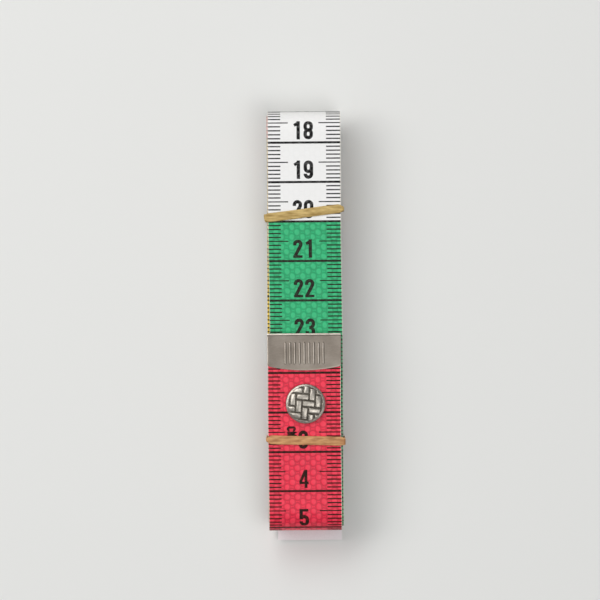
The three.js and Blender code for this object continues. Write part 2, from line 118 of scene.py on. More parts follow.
# The room is grey overhead and pale all round the horizon.
world = bpy.data.worlds.new("soft_room")
world.use_nodes = True
world_tree = world.node_tree
world_tree.nodes.clear()
world_sky = add(world_tree, "ShaderNodeTexCoord", out="Generated")
world_height = add(world_tree, "ShaderNodeSeparateXYZ", [world_sky], out="Z")
world_ramp = add(world_tree, "ShaderNodeValToRGB", [world_height], out=None)
world_stops = ((0.03, "#EDEDEA"), (0.12, "#6D6D6B"), (0.13, "#6D6D6B"), (0.75, "#9A9B9D"))
while len(world_ramp.color_ramp.elements) < len(world_stops):
    world_ramp.color_ramp.elements.new(0.5)
for world_stop, (height, colour) in zip(world_ramp.color_ramp.elements, world_stops):
    world_stop.position = height
    world_stop.color = linear(colour)
world_light = add(world_tree, "ShaderNodeBackground", [world_ramp.outputs[0]])
add(world_tree, "ShaderNodeOutputWorld", [world_light], out=None)
scene.world = world


def soft_box(name, place, target, width, depth, power):
    """A soft lamp that faces its target, with its width level."""
    lamp = bpy.data.objects.new(name, bpy.data.lights.new(name, "AREA"))
    lamp.data.shape = "RECTANGLE"
    lamp.data.size = width
    lamp.data.size_y = depth
    lamp.data.energy = power
    lamp.location = place
    lamp.rotation_euler = (Vector(target) - Vector(place)).to_track_quat("-Z", "Y").to_euler()
    scene.collection.objects.link(lamp)


soft_box("soft_key", (-0.46, 0.42, 0.75), view_centre, 1.2, 0.45, 6.4)
soft_box("soft_fill", (0.24, -0.24, 0.85), view_centre, 0.5, 0.5, 2.2)

# The floor is a flat sheet of painted card: matt, and off-white with a trace of warmth.
floor_reach = 1.6
floor_mesh = bmesh.new()
bmesh.ops.create_grid(floor_mesh, x_segments=2, y_segments=2, size=floor_reach)
floor_paint, _, floor_shader = new_finish("matt_studio_sweep")
plug(floor_shader, {"Base Color": linear("#E9E9E6"), "Roughness": 0.9})
floor = as_object("floor", floor_mesh, floor_paint)


# The tape. Glass cloth coated with PVC on both faces, slit to 18.5 mm and wound flat, with a fold
# at each end of the bundle. Its line starts at the zero end and runs inwards, turn by turn.
winding_low, winding_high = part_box("tape_winding")
free_low, free_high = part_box("tape_free_end")
inner_tip_low, inner_tip_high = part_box("inner_end_tip")
tape_width = winding_high.x - winding_low.x
tape_thickness = 0.0004
turn_pitch = 0.00084
core_level = 0.00125
loose_gap = 0.0005
fold_exponent = 2.4
last_run = 14
fold_steps = 56
ramp_steps = 24
run_lead = 0.02
hinge_from_zero = 0.0246
droop_from_zero = 0.0116
droop_arc = 0.0024
droop_angle = math.radians(5)
droop_steps = 12
split_gap = 0.0003
tip_room = 0.0004
tape_length = 1.5
same_place = 1e-6


def run_levels():
    """The height of each run over the middle of the winding, front runs first."""
    levels = []
    for run in range(last_run + 1):
        from_core = last_run - run
        size = core_level + (from_core - 1) // 2 * turn_pitch if from_core else 0
        levels.append(size if run % 2 == 0 else -size)
    levels[1] -= loose_gap
    return levels


levels = run_levels()
middle = winding_low.z + tape_thickness / 2 - levels[1]
lower_fold_y = winding_low.y + tape_thickness / 2 + (levels[0] - levels[1]) / 2
upper_fold_y = winding_high.y - tape_thickness / 2 - (levels[2] - levels[1]) / 2
hinge = Vector((0, free_low.y - split_gap / 2, free_high.z))
free_level = free_high.z - tape_thickness / 2


def free_end_points():
    """From the zero end to the hinge: a straight droop, a short bend and a level stretch."""
    points = [Vector((0, hinge.y, free_level))]
    points.append(points[0] + Vector((0, hinge_from_zero - droop_from_zero, 0)))
    step = droop_arc / droop_steps
    for i in range(droop_steps):
        heading = -droop_angle * (i + 0.5) / droop_steps
        points.append(points[-1] + step * Vector((0, math.cos(heading), math.sin(heading))))
    heading = Vector((0, math.cos(droop_angle), -math.sin(droop_angle)))
    points.append(points[-1] + (droop_from_zero - droop_arc) * heading)
    return points[::-1]


def fold_points(centre, side, start, end):
    """Half a rounded square that joins the run at one height to the run at another."""
    radius = abs(start - end) / 2
    heading = math.copysign(1, start - end)
    points = []
    for step in range(1, fold_steps):
        angle = math.pi * (0.5 - step / fold_steps)
        reach = abs(math.cos(angle)) ** (2 / fold_exponent)
        rise = math.copysign(abs(math.sin(angle)) ** (2 / fold_exponent), math.sin(angle))
        height = middle + (start + end) / 2 + heading * radius * rise
        points.append(Vector((0, centre + side * radius * reach, height)))
    return points


def winding_points():
    """From the hinge to the inner end: the ramp down to the first fold, then run after run."""
    points = []
    drop = free_level - middle - levels[0]
    for step in range(1, ramp_steps + 1):
        along = step / ramp_steps
        rise = (1 - along) ** 2 * (1 + 2 * along)
        y = hinge.y + (lower_fold_y - hinge.y) * along
        points.append(Vector((0, y, middle + levels[0] + drop * rise)))
    for run in range(1, last_run + 1):
        centre, side = (lower_fold_y, -1) if run % 2 else (upper_fold_y, 1)
        points += fold_points(centre, side, levels[run - 1], levels[run])
        far = upper_fold_y if run % 2 else lower_fold_y
        if run == last_run:
            far = inner_tip_low.y + tip_room
        for share in (0, run_lead, 1 - run_lead, 1):
            points.append(Vector((0, centre + (far - centre) * share, middle + levels[run])))
    return points


def poly_line(name, places):
    """A line through places, as a curve in the scene."""
    made = bpy.data.objects.new(name, bpy.data.curves.new(name, "CURVE"))
    made.data.dimensions = "3D"
    spline = made.data.splines.new("POLY")
    spline.points.add(len(places) - 1)
    for point, place in zip(spline.points, places):
        point.co = (*place, 1)
    scene.collection.objects.link(made)
    return made


tape_line = free_end_points() + winding_points()
tape_curve = poly_line("tape_line", tape_line)
line_length = sum((b - a).length for a, b in zip(tape_line, tape_line[1:]))


def new_tree(name, inputs):
    """A tree that works on a piece, with named inputs that are listed by kind."""
    tree = bpy.data.node_groups.new(name, "GeometryNodeTree")
    for way in ("INPUT", "OUTPUT"):
        tree.interface.new_socket("Geometry", in_out=way, socket_type="NodeSocketGeometry")
    for kind, names in inputs.items():
        for socket in names:
            tree.interface.new_socket(socket, in_out="INPUT", socket_type="NodeSocket" + kind)
    return tree


def grow(piece, tree, values):
    """Puts a piece through a tree, each input set by its socket's identifier."""
    run = piece.modifiers.new(tree.name, "NODES")
    run.node_group = tree
    for item in tree.interface.items_tree:
        if item.in_out == "INPUT" and item.name in values:
            run[item.identifier] = values[item.name]
    return piece


# What is flat is drawn with X across the tape, the zero end at Y 0 and the scale running down -Y.
# This tree lays it along the tape's line. Each turn lies a little askew, as wound by hand.
wrap_tree = new_tree("wound_on_the_line", {
    "Object": ["Line"],
    "Float": ["Stray", "Stray Length", "Stray Start", "Flutter", "Flutter Length", "Flutter Start"],
    "Material": ["Face", "Edge"],
})
wrap_in = add(wrap_tree, "NodeGroupInput", out=None).outputs
flat_place = add(wrap_tree, "GeometryNodeInputPosition")
flat_parts = add(wrap_tree, "ShaderNodeSeparateXYZ", [flat_place], out=None).outputs
from_zero = add(wrap_tree, "ShaderNodeMath", [flat_parts["Y"], -1.0], operation="MULTIPLY")
flat_map = add(wrap_tree, "ShaderNodeCombineXYZ", [flat_parts["X"], from_zero])
mapped = add(wrap_tree, "GeometryNodeStoreNamedAttribute", {
    "Geometry": wrap_in["Geometry"], "Name": "UVMap", "Value": flat_map,
}, data_type="FLOAT2", domain="CORNER")
flat_normal = add(wrap_tree, "GeometryNodeInputNormal")
sideways = add(wrap_tree, "ShaderNodeSeparateXYZ", [flat_normal], out="X")
sideways_size = add(wrap_tree, "ShaderNodeMath", [sideways], operation="ABSOLUTE")
is_edge = add(wrap_tree, "FunctionNodeCompare", [sideways_size, 0.5])
faced = add(wrap_tree, "GeometryNodeSetMaterial", {"Geometry": mapped, "Material": wrap_in["Face"]})
edged = add(wrap_tree, "GeometryNodeSetMaterial", {
    "Geometry": faced, "Selection": is_edge, "Material": wrap_in["Edge"],
})
line_info = add(wrap_tree, "GeometryNodeObjectInfo", {"Object": wrap_in["Line"]}, out=None).outputs
on_line = add(wrap_tree, "GeometryNodeSampleCurve", {
    "Curves": line_info["Geometry"], "Length": from_zero,
}, out=None, mode="LENGTH", use_all_curves=True).outputs
outwards = add(wrap_tree, "ShaderNodeVectorMath", [
    on_line["Tangent"], (1.0, 0.0, 0.0),
], operation="CROSS_PRODUCT")
outwards = add(wrap_tree, "ShaderNodeVectorMath", [outwards], operation="NORMALIZE")
lifted = add(wrap_tree, "ShaderNodeVectorMath", {
    0: outwards, "Scale": flat_parts["Z"],
}, operation="SCALE")


def wave(reach, length, start):
    """A sine along the tape."""
    turn = add(wrap_tree, "ShaderNodeMath", [from_zero, start], operation="SUBTRACT")
    turn = add(wrap_tree, "ShaderNodeMath", [turn, length], operation="DIVIDE")
    turn = add(wrap_tree, "ShaderNodeMath", [turn, math.tau], operation="MULTIPLY")
    swing = add(wrap_tree, "ShaderNodeMath", [turn], operation="SINE")
    return add(wrap_tree, "ShaderNodeMath", [swing, reach], operation="MULTIPLY")


stray = add(wrap_tree, "ShaderNodeMath", [
    wave(wrap_in["Stray"], wrap_in["Stray Length"], wrap_in["Stray Start"]),
    wave(wrap_in["Flutter"], wrap_in["Flutter Length"], wrap_in["Flutter Start"]),
], operation="ADD")
stray = add(wrap_tree, "ShaderNodeMath", [stray, flat_parts["X"]], operation="ADD")
across = add(wrap_tree, "ShaderNodeCombineXYZ", [stray])
wound_place = add(wrap_tree, "ShaderNodeVectorMath", [across, lifted], operation="ADD")
wound_place = add(wrap_tree, "ShaderNodeVectorMath", [
    wound_place, on_line["Position"],
], operation="ADD")
wound = add(wrap_tree, "GeometryNodeSetPosition", {"Geometry": edged, "Position": wound_place})
wound = add(wrap_tree, "GeometryNodeRealizeInstances", [wound])
add(wrap_tree, "NodeGroupOutput", [wound], out=None)

stray_reach = 0.00028
stray_length = 0.43
stray_start = 0.158
flutter_reach = 0.00007
flutter_length = 0.061
flutter_start = 0.033


def stray_at(distance):
    """How far the tape lies to the side at a distance from its zero end."""
    slow = stray_reach * math.sin(math.tau * (distance - stray_start) / stray_length)
    return slow + flutter_reach * math.sin(math.tau * (distance - flutter_start) / flutter_length)


def settle(piece, body, hard_angle=35):
    """Turns a piece with live modifiers into a plain smooth mesh on its body."""
    seen = bpy.context.evaluated_depsgraph_get()
    mesh = bpy.data.meshes.new_from_object(piece.evaluated_get(seen), depsgraph=seen)
    mesh.name = piece.name
    piece.modifiers.clear()
    piece.data = mesh
    mesh.shade_smooth()
    mesh.set_sharp_from_angle(angle=math.radians(hard_angle))
    if body:
        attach(piece, body)
    return piece


def wrap(piece, face, edge):
    """Lays a flat piece along the tape's line."""
    return grow(piece, wrap_tree, {
        "Line": tape_curve,
        "Stray": stray_reach, "Stray Length": stray_length, "Stray Start": stray_start,
        "Flutter": flutter_reach, "Flutter Length": flutter_length, "Flutter Start": flutter_start,
        "Face": face, "Edge": edge,
    })


# Printed PVC over glass cloth: satin, pressed with the round cells of the embossing roller. Each
# decimetre has its own ground colour, so the ink of the scale sinks in warmer on the coloured ones.
millimetre = 0.001
decimetre = 0.1
grounds = {
    "red": "#F32A49",
    "white": "#F5F4F2",
    "green": "#26B877",
    "yellow": "#F0C93A",
    "blue": "#3D86C6",
}
ground_order = (
    "red", "white", "green", "red", "yellow", "white", "blue", "white",
    "red", "white", "green", "white", "yellow", "white", "blue",
)
inks = {
    "red": "#231C14",
    "white": "#0D0B0C",
    "green": "#2C2321",
    "yellow": "#1E1910",
    "blue": "#12161B",
}
cell_across = 0.00267
cell_along = 0.00248
cell_origin = Vector((-0.0003, 0.00087, 0))
cell_groove = 0.00096
cell_slim = 0.86
cell_flat = 0.00068
cell_crown = 0.0002
cell_ring = 0.0008
cell_ring_width = 0.00031
cell_wander = 0.0006
cell_wander_size = 0.0016
cell_depth = 0.00012
blotch_size = 0.0028
blotch_weight = 1.1
slit_fray = 0.00024
slit_tint = 0.18
ink_grain = 0.0007


def by_decimetre(tree, distance, colours):
    """A ramp that steps from one decimetre's colour to the next."""
    count = len(ground_order)
    step = add(tree, "ShaderNodeMath", [distance, decimetre], operation="DIVIDE")
    step = add(tree, "ShaderNodeMath", [step], operation="FLOOR")
    share = add(tree, "ShaderNodeMath", [step, 1 / count, 0.5 / count], operation="MULTIPLY_ADD")
    ramp = add(tree, "ShaderNodeValToRGB", [share], out=None)
    ramp.color_ramp.interpolation = "CONSTANT"
    while len(ramp.color_ramp.elements) < count:
        ramp.color_ramp.elements.new(0.5)
    for i, name in enumerate(ground_order):
        ramp.color_ramp.elements[i].position = i / count
        ramp.color_ramp.elements[i].color = linear(colours[name])
    return ramp.outputs[0]


cloth, cloth_tree, cloth_shader = new_finish("embossed_pvc_cloth")
cloth_map = add(cloth_tree, "ShaderNodeUVMap", uv_map="UVMap")
cloth_at = add(cloth_tree, "ShaderNodeSeparateXYZ", [cloth_map], out=None).outputs
ground = by_decimetre(cloth_tree, cloth_at["Y"], grounds)
ground_parts = add(cloth_tree, "ShaderNodeSeparateColor", [ground], out=None, mode="HSV").outputs
cell_noise = add(cloth_tree, "ShaderNodeTexNoise", {
    "Vector": cloth_map, "Scale": 1 / cell_wander_size, "Detail": 2.0,
}, out="Color")
cell_place = add(cloth_tree, "ShaderNodeVectorMath", [
    cell_noise, (cell_wander, cell_wander, 0), cloth_map,
], operation="MULTIPLY_ADD")
half_cell = Vector((cell_across, cell_along, 1)) / 2
cell_distance = []
for cell_shift in (-cell_origin, half_cell - cell_origin):
    cell_at = add(cloth_tree, "ShaderNodeVectorMath", [cell_place, cell_shift], operation="ADD")
    cell_at = add(cloth_tree, "ShaderNodeVectorMath", [
        cell_at, half_cell, -half_cell,
    ], operation="WRAP")
    cell_at = add(cloth_tree, "ShaderNodeVectorMath", [
        cell_at, (1, cell_slim, 0),
    ], operation="MULTIPLY")
    cell_distance.append(add(cloth_tree, "ShaderNodeVectorMath", [
        cell_at,
    ], out="Value", operation="LENGTH"))
cell_nearest = add(cloth_tree, "ShaderNodeMath", [
    cell_distance[0], cell_distance[1],
], operation="MINIMUM")
# Each cell's ring is painted darker in the tone below: painted shade in the embossing's grooves.
cell_off_ring = add(cloth_tree, "ShaderNodeMath", [cell_nearest, cell_ring], operation="SUBTRACT")
cell_off_ring = add(cloth_tree, "ShaderNodeMath", [cell_off_ring], operation="ABSOLUTE")
cell_ring_shade = add(cloth_tree, "ShaderNodeMapRange", {
    "Value": cell_off_ring, "From Max": cell_ring_width,
}, interpolation_type="SMOOTHSTEP")
# The flat crown of each cell is painted lighter on the coloured grounds: a painted highlight.
cell_highlight_mask = add(cloth_tree, "ShaderNodeMapRange", {
    "Value": cell_nearest, "From Min": cell_flat, "From Max": 0.6 * cell_flat, "To Max": 0.02,
}, interpolation_type="SMOOTHSTEP")
cell_dome = add(cloth_tree, "ShaderNodeMapRange", {
    "Value": cell_nearest, "From Min": cell_groove, "From Max": cell_crown,
}, interpolation_type="SMOOTHSTEP")
# Broad noise patches: part random mottle in the coat, part a painted sheen.
cloth_mottle_and_sheen = add(cloth_tree, "ShaderNodeTexNoise", {
    "Vector": cloth_map, "Scale": 1 / blotch_size, "Detail": 4.0,
})
pressed = add(cloth_tree, "ShaderNodeMath", [
    cloth_mottle_and_sheen, blotch_weight, cell_ring_shade,
], operation="MULTIPLY_ADD")
tone = add(cloth_tree, "ShaderNodeMapRange", {
    "Value": pressed, "From Min": 0.45, "From Max": 1.75, "To Min": 0.67, "To Max": 1.13,
})
tone_share = add(cloth_tree, "ShaderNodeMapRange", {"Value": ground_parts[1], "To Min": 0.03})
toned = add(cloth_tree, "ShaderNodeMix", {0: tone_share, 2: 1.0, 3: tone}, data_type="FLOAT")
cloth_colour = add(cloth_tree, "ShaderNodeVectorMath", {
    0: ground, "Scale": toned,
}, operation="SCALE")
# Mixes the painted highlight into the crowns of the cells.
cell_painted_highlight = add(cloth_tree, "ShaderNodeMath", [cell_highlight_mask, tone_share], operation="MULTIPLY")
cloth_colour = add(cloth_tree, "ShaderNodeMix", {
    0: cell_painted_highlight, 6: cloth_colour, 7: linear("#F2F2F0"),
}, out=2, data_type="RGBA")
cloth_aside = add(cloth_tree, "ShaderNodeMath", [cloth_at["X"]], operation="ABSOLUTE")
cloth_fray = add(cloth_tree, "ShaderNodeMapRange", {
    "Value": cloth_aside, "From Min": tape_width / 2 - slit_fray,
    "From Max": tape_width / 2 - slit_fray / 3, "To Max": 0.7,
})
cloth_colour = add(cloth_tree, "ShaderNodeMix", {
    0: cloth_fray, 6: cloth_colour, 7: linear("#E8E1D2"),
}, out=2, data_type="RGBA")
cloth_height = add(cloth_tree, "ShaderNodeMath", [cell_dome, tone_share], operation="MULTIPLY")
cloth_bump = add(cloth_tree, "ShaderNodeBump", {
    "Strength": 0.8, "Distance": cell_depth, "Height": cloth_height,
})
plug(cloth_shader, {
    "Base Color": cloth_colour, "Normal": cloth_bump, "Roughness": 0.44,
    "Specular IOR Level": 0.38, "IOR": 1.52,
})

# The slit edge shows the white cloth between its two coats, with a dark nick where each line ends.
edge, edge_tree, edge_shader = new_finish("slit_cloth_edge")
edge_map = add(edge_tree, "ShaderNodeUVMap", uv_map="UVMap")
edge_at = add(edge_tree, "ShaderNodeSeparateXYZ", [edge_map], out="Y")
edge_turn = add(edge_tree, "ShaderNodeMath", [edge_at, math.tau / millimetre], operation="MULTIPLY")
edge_wave = add(edge_tree, "ShaderNodeMath", [edge_turn], operation="COSINE")
edge_nick = add(edge_tree, "ShaderNodeMapRange", {
    "Value": edge_wave, "From Min": 0.45, "From Max": 0.95, "To Max": 0.6,
})
edge_ground = by_decimetre(edge_tree, edge_at, grounds)
edge_pale = add(edge_tree, "ShaderNodeMix", {
    0: slit_tint, 6: linear("#EFE9DC"), 7: edge_ground,
}, out=2, data_type="RGBA")
edge_colour = add(edge_tree, "ShaderNodeMix", {
    0: edge_nick, 6: edge_pale, 7: linear("#4A3B33"),
}, out=2, data_type="RGBA")
plug(edge_shader, {"Base Color": edge_colour, "Roughness": 0.75})

# Screen-printed ink stands a hair above the coat and has soft satin lines.
ink, ink_tree, ink_shader = new_finish("screen_printed_ink")
ink_map = add(ink_tree, "ShaderNodeUVMap", uv_map="UVMap")
ink_at = add(ink_tree, "ShaderNodeSeparateXYZ", [ink_map], out="Y")
ink_colour = by_decimetre(ink_tree, ink_at, inks)
ink_wear = add(ink_tree, "ShaderNodeTexNoise", {
    "Vector": ink_map, "Scale": 1 / ink_grain, "Detail": 2.0,
})
ink_thin = add(ink_tree, "ShaderNodeMapRange", {
    "Value": ink_wear, "From Min": 0.45, "From Max": 0.8, "To Max": 0.15,
})
ink_ground = by_decimetre(ink_tree, ink_at, grounds)
ink_worn = add(ink_tree, "ShaderNodeMix", {
    0: ink_thin, 6: ink_colour, 7: ink_ground,
}, out=2, data_type="RGBA")
plug(ink_shader, {"Base Color": ink_worn, "Roughness": 0.55, "Specular IOR Level": 0.12})

# The flat tape is a long thin strip with a cross-wise cut every half millimetre.
strip_tree = new_tree("slit_strip", {"Float": ["Width", "Thickness", "Start", "End", "Step"]})
strip_step = 0.0005
strip_in = add(strip_tree, "NodeGroupInput", out=None).outputs
strip_long = add(strip_tree, "ShaderNodeMath", [
    strip_in["End"], strip_in["Start"],
], operation="SUBTRACT")
strip_cuts = add(strip_tree, "ShaderNodeMath", [strip_long, strip_in["Step"]], operation="DIVIDE")
strip_cuts = add(strip_tree, "ShaderNodeMath", [strip_cuts], operation="CEIL")
strip_sizes = add(strip_tree, "ShaderNodeCombineXYZ", [
    strip_in["Width"], strip_long, strip_in["Thickness"],
])
strip_body = add(strip_tree, "GeometryNodeMeshCube", {
    "Size": strip_sizes, "Vertices X": 2, "Vertices Y": strip_cuts, "Vertices Z": 2,
})
strip_middle = add(strip_tree, "ShaderNodeMath", [
    strip_in["End"], strip_in["Start"],
], operation="ADD")
strip_middle = add(strip_tree, "ShaderNodeMath", [strip_middle, -0.5], operation="MULTIPLY")
strip_place = add(strip_tree, "ShaderNodeCombineXYZ", {1: strip_middle})
strip_body = add(strip_tree, "GeometryNodeTransform", {
    "Geometry": strip_body, "Translation": strip_place,
})
strip_body = add(strip_tree, "GeometryNodeRealizeInstances", [strip_body])
strip_body = add(strip_tree, "GeometryNodeSetMaterial", {0: strip_body, "Material": cloth})
add(strip_tree, "NodeGroupOutput", [strip_body], out=None)

rivet_hole = 0.0013
snap_from_zero = 0.0178
seam_from_zero = 0.0268
cloth_end = 0.0004
stud_low, stud_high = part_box("snap_stud")
stud_y = (stud_low.y + stud_high.y) / 2


def length_to(target_y):
    """How far along the line the first back run passes a place along the bundle."""
    distance = 0
    for a, b in zip(tape_line, tape_line[1:]):
        on_back = abs(a.z - middle - levels[1]) < same_place
        if on_back and abs(b.z - a.z) < same_place and a.y <= target_y <= b.y:
            return distance + target_y - a.y
        distance += (b - a).length
    return distance


def flat_strip(name, start, end, hole_at):
    """A stretch of tape, still flat, with the hole for a rivet."""
    strip = grow(as_object(name, bmesh.new()), strip_tree, {
        "Width": tape_width, "Thickness": tape_thickness,
        "Start": start, "End": end, "Step": strip_step,
    })
    punch_mesh = bmesh.new()
    bmesh.ops.create_cone(
        punch_mesh, cap_ends=True, segments=32, radius1=rivet_hole, radius2=rivet_hole,
        depth=4 * tape_thickness, matrix=Matrix.Translation((-stray_at(hole_at), -hole_at, 0)),
    )
    punch = as_object("punch", punch_mesh)
    punched = strip.modifiers.new("punch", "BOOLEAN")
    punched.operation = "DIFFERENCE"
    punched.object = punch
    wrap(strip, cloth, edge)
    return strip, punch


winding, winding_punch = flat_strip("wound_tape", seam_from_zero, line_length, length_to(stud_y))
settle(winding, "bundle")
bpy.data.objects.remove(winding_punch)
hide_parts("tape_winding")

free_end, free_punch = flat_strip("free_end_of_tape", cloth_end, seam_from_zero, snap_from_zero)
settle(free_end, None)
bpy.data.objects.remove(free_punch)
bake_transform(free_end)
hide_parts("tape_free_end")


# The scale. Millimetre lines at both edges, longer at each half centimetre and right across at
# each centimetre, with condensed numerals above them. It is screen-printed, a little off centre.
print_shift = -0.00022
figure_shift = -0.00034
ink_height = 0.00002
short_line_inner = 0.0058
half_line_inner = 0.00388
unit_line_inner = 0.00475
unit_marks = 55
line_margin = 0.0001
fine_line = 0.00032
half_line = 0.00028
full_line = 0.00055

scale_tree = new_tree("printed_scale", {
    "Int": ["First", "Count", "Unit Marks"],
    "Float": [
        "Spacing", "Half Width", "Shift", "Short Inner", "Half Inner", "Unit Inner",
        "Fine", "Half Fine", "Full", "Level",
    ],
})
scale_in = add(scale_tree, "NodeGroupInput", out=None).outputs
mark_index = add(scale_tree, "GeometryNodeInputIndex")
mark = add(scale_tree, "ShaderNodeMath", [mark_index, scale_in["First"]], operation="ADD")


def every(count):
    """Is this line one of every so many?"""
    rest = add(scale_tree, "ShaderNodeMath", [mark, count], operation="MODULO")
    return add(scale_tree, "ShaderNodeMath", [rest, 0.5], operation="LESS_THAN")


is_full, is_half = every(10.0), every(5.0)


def by_rank(short, half, full):
    """A line's value by its rank: a millimetre, half a centimetre or a whole one."""
    value = add(scale_tree, "ShaderNodeMix", {0: is_half, 2: short, 3: half}, data_type="FLOAT")
    return add(scale_tree, "ShaderNodeMix", {0: is_full, 2: value, 3: full}, data_type="FLOAT")


by_unit = add(scale_tree, "ShaderNodeMath", [mark, scale_in["Unit Marks"]], operation="LESS_THAN")
left_half_inner = add(scale_tree, "ShaderNodeMix", {
    0: by_unit, 2: scale_in["Half Inner"], 3: scale_in["Unit Inner"],
}, data_type="FLOAT")
line_weight = by_rank(scale_in["Fine"], scale_in["Half Fine"], scale_in["Full"])
mark_fall = add(scale_tree, "ShaderNodeMath", [mark, scale_in["Spacing"]], operation="MULTIPLY")
mark_fall = add(scale_tree, "ShaderNodeMath", [mark_fall, -1.0], operation="MULTIPLY")
marks = add(scale_tree, "GeometryNodeMeshLine", {"Count": scale_in["Count"]})
line_sets = []
for side, half_inner in ((-1.0, left_half_inner), (1.0, scale_in["Half Inner"])):
    line_inner = by_rank(scale_in["Short Inner"], half_inner, 0.0)
    outer = add(scale_tree, "ShaderNodeMath", [scale_in["Half Width"], side], operation="MULTIPLY")
    inner = add(scale_tree, "ShaderNodeMath", [
        line_inner, side, scale_in["Shift"],
    ], operation="MULTIPLY_ADD")
    centre = add(scale_tree, "ShaderNodeMath", [outer, inner], operation="ADD")
    centre = add(scale_tree, "ShaderNodeMath", [centre, 0.5], operation="MULTIPLY")
    length = add(scale_tree, "ShaderNodeMath", [outer, inner], operation="SUBTRACT")
    length = add(scale_tree, "ShaderNodeMath", [length, side], operation="MULTIPLY")
    place = add(scale_tree, "ShaderNodeCombineXYZ", [centre, mark_fall, scale_in["Level"]])
    shape = add(scale_tree, "ShaderNodeCombineXYZ", [length, line_weight, ink_height])
    bar = add(scale_tree, "GeometryNodeMeshCube", {"Size": (1.0, 1.0, 1.0)})
    placed = add(scale_tree, "GeometryNodeSetPosition", {"Geometry": marks, "Position": place})
    line_sets.append(add(scale_tree, "GeometryNodeInstanceOnPoints", {
        "Points": placed, "Instance": bar, "Scale": shape,
    }))
scale_lines = add(scale_tree, "GeometryNodeJoinGeometry", out=None)
for line_set in line_sets:
    scale_tree.links.new(line_set, scale_lines.inputs[0])
lines_made = add(scale_tree, "GeometryNodeRealizeInstances", [scale_lines.outputs[0]])
with_figures = add(scale_tree, "GeometryNodeJoinGeometry", out=None)
scale_tree.links.new(lines_made, with_figures.inputs[0])
scale_tree.links.new(scale_in["Geometry"], with_figures.inputs[0])
inked = add(scale_tree, "GeometryNodeSetMaterial", {0: with_figures.outputs[0], "Material": ink})
add(scale_tree, "NodeGroupOutput", [inked], out=None)

# A numeral is drawn by the middle lines of its strokes, each with its weight. They lie one over
# the other by a hair, as they cross.
figure_height = 0.00464
figure_width = 0.0024
figure_stroke = 0.00085
thin_stroke = 0.00064
stroke_layer = 0.000002
figure_pitch = 0.00284
figure_above_line = 0.0008
stroke_step = 0.0003
stroke_slack = 0.01
sharpest_mitre = 0.45
arc_steps = 8
half_figure = (figure_width - figure_stroke) / 2
top_line = figure_height - figure_stroke
waist = top_line / 2


def arc(x, y, radius, start, end):
    """Points of an arc, in degrees from +X."""
    turns = [math.radians(start + (end - start) * i / arc_steps) for i in range(arc_steps + 1)]
    return [(x + radius * math.cos(turn), y + radius * math.sin(turn)) for turn in turns]


def bowl(low, high):
    """A closed loop with round ends."""
    r = half_figure
    loop = arc(0, high - r, r, 0, 180) + arc(0, low + r, r, 180, 360)
    return loop + [loop[0]]


def figure_strokes(figure):
    """The strokes of a numeral, or of a letter of the unit: their weights and points."""
    r, top, out = half_figure, top_line, figure_stroke / 2
    bold, thin = figure_stroke, thin_stroke
    crown, foot = top + out - thin / 2, thin / 2 - out
    small = waist / 2
    if figure == "0":
        return [(bold, bowl(0, top))]
    if figure == "1":
        flag = [(-0.00076, top - 0.0007), (0.0003, top - 0.00003)]
        return [(bold, [(0.0003, -out), (0.0003, top + out)]), (0.9 * bold, flag)]
    if figure == "2":
        head = arc(0, top - r, r, 180, -22)
        neck = [(-r, top - r - 0.0003)] + head + [(-r + 0.0001, 0.0001)]
        return [(bold, neck), (thin, [(-r - out, foot), (r + out * 0.9, foot)])]
    if figure == "3":
        notch = [(-0.0003, waist)]
        upper = arc(0, top - r, r, 180, 0) + arc(r - small, waist + small, small, 0, -90) + notch
        lower = notch + arc(r - small, waist - small, small, 90, 0) + arc(0, r, r, 0, -180)
        return [(bold, [(-r, top - r - 0.0002)] + upper), (bold, lower + [(-r, r + 0.0002)])]
    if figure == "4":
        bar = 0.00086
        return [
            (0.85 * bold, [(0.00054, -out), (0.00054, top + out)]),
            (0.8 * bold, [(0.0004, top + out * 0.6), (-0.00088, bar + 0.0001)]),
            (thin, [(-0.0011, bar), (r + out, bar)]),
        ]
    if figure == "5":
        shoulder = top * 0.6
        loop = arc(0, shoulder - r, r, 150, 0) + arc(0, r, r, 0, -180) + [(-r, r + 0.0002)]
        return [
            (thin, [(-r - out, crown), (r + out * 0.6, crown)]),
            (bold, [(-r, crown), (-r, shoulder - r * 0.9)]),
            (bold, [(-r, shoulder - r * 0.6)] + loop),
        ]
    if figure in "69":
        tail = [(-r, r)] + arc(0, top - r, r, 180, 0) + [(r, top - r - 0.0001)]
        strokes = [bowl(0, top * 0.62), tail]
        if figure == "9":
            strokes = [[(-x, top - y) for x, y in stroke] for stroke in strokes]
        return [(bold, stroke) for stroke in strokes]
    if figure == "7":
        roof = [(-r - out, crown), (r + out, crown)]
        return [(thin, roof), (bold, [(r, crown), (-0.0004, -out)])]
    if figure == "8":
        return [(bold, bowl(0, waist)), (bold, bowl(waist, top))]
    if figure == "C":
        bend = arc(0, top - r, r, 0, 180) + arc(0, r, r, 180, 360)
        return [(1.5 * bold, [(r, top - 1.2 * r)] + bend + [(r, 1.2 * r)])]
    return [(1.45 * bold, [(-r, -out), (-r, top), (0, waist * 0.7), (r, top), (r, -out)])]


def skin(mesh, rings, loop=False):
    """Faces from each ring of points to the next, and from the last to the first in a loop."""
    for a, b in zip(rings, rings[1:] + (rings[:1] if loop else [])):
        for k in range(len(a)):
            after = (k + 1) % len(a)
            corners = list(dict.fromkeys((a[k], a[after], b[after], b[k])))
            if len(corners) > 2:
                mesh.faces.new(corners)


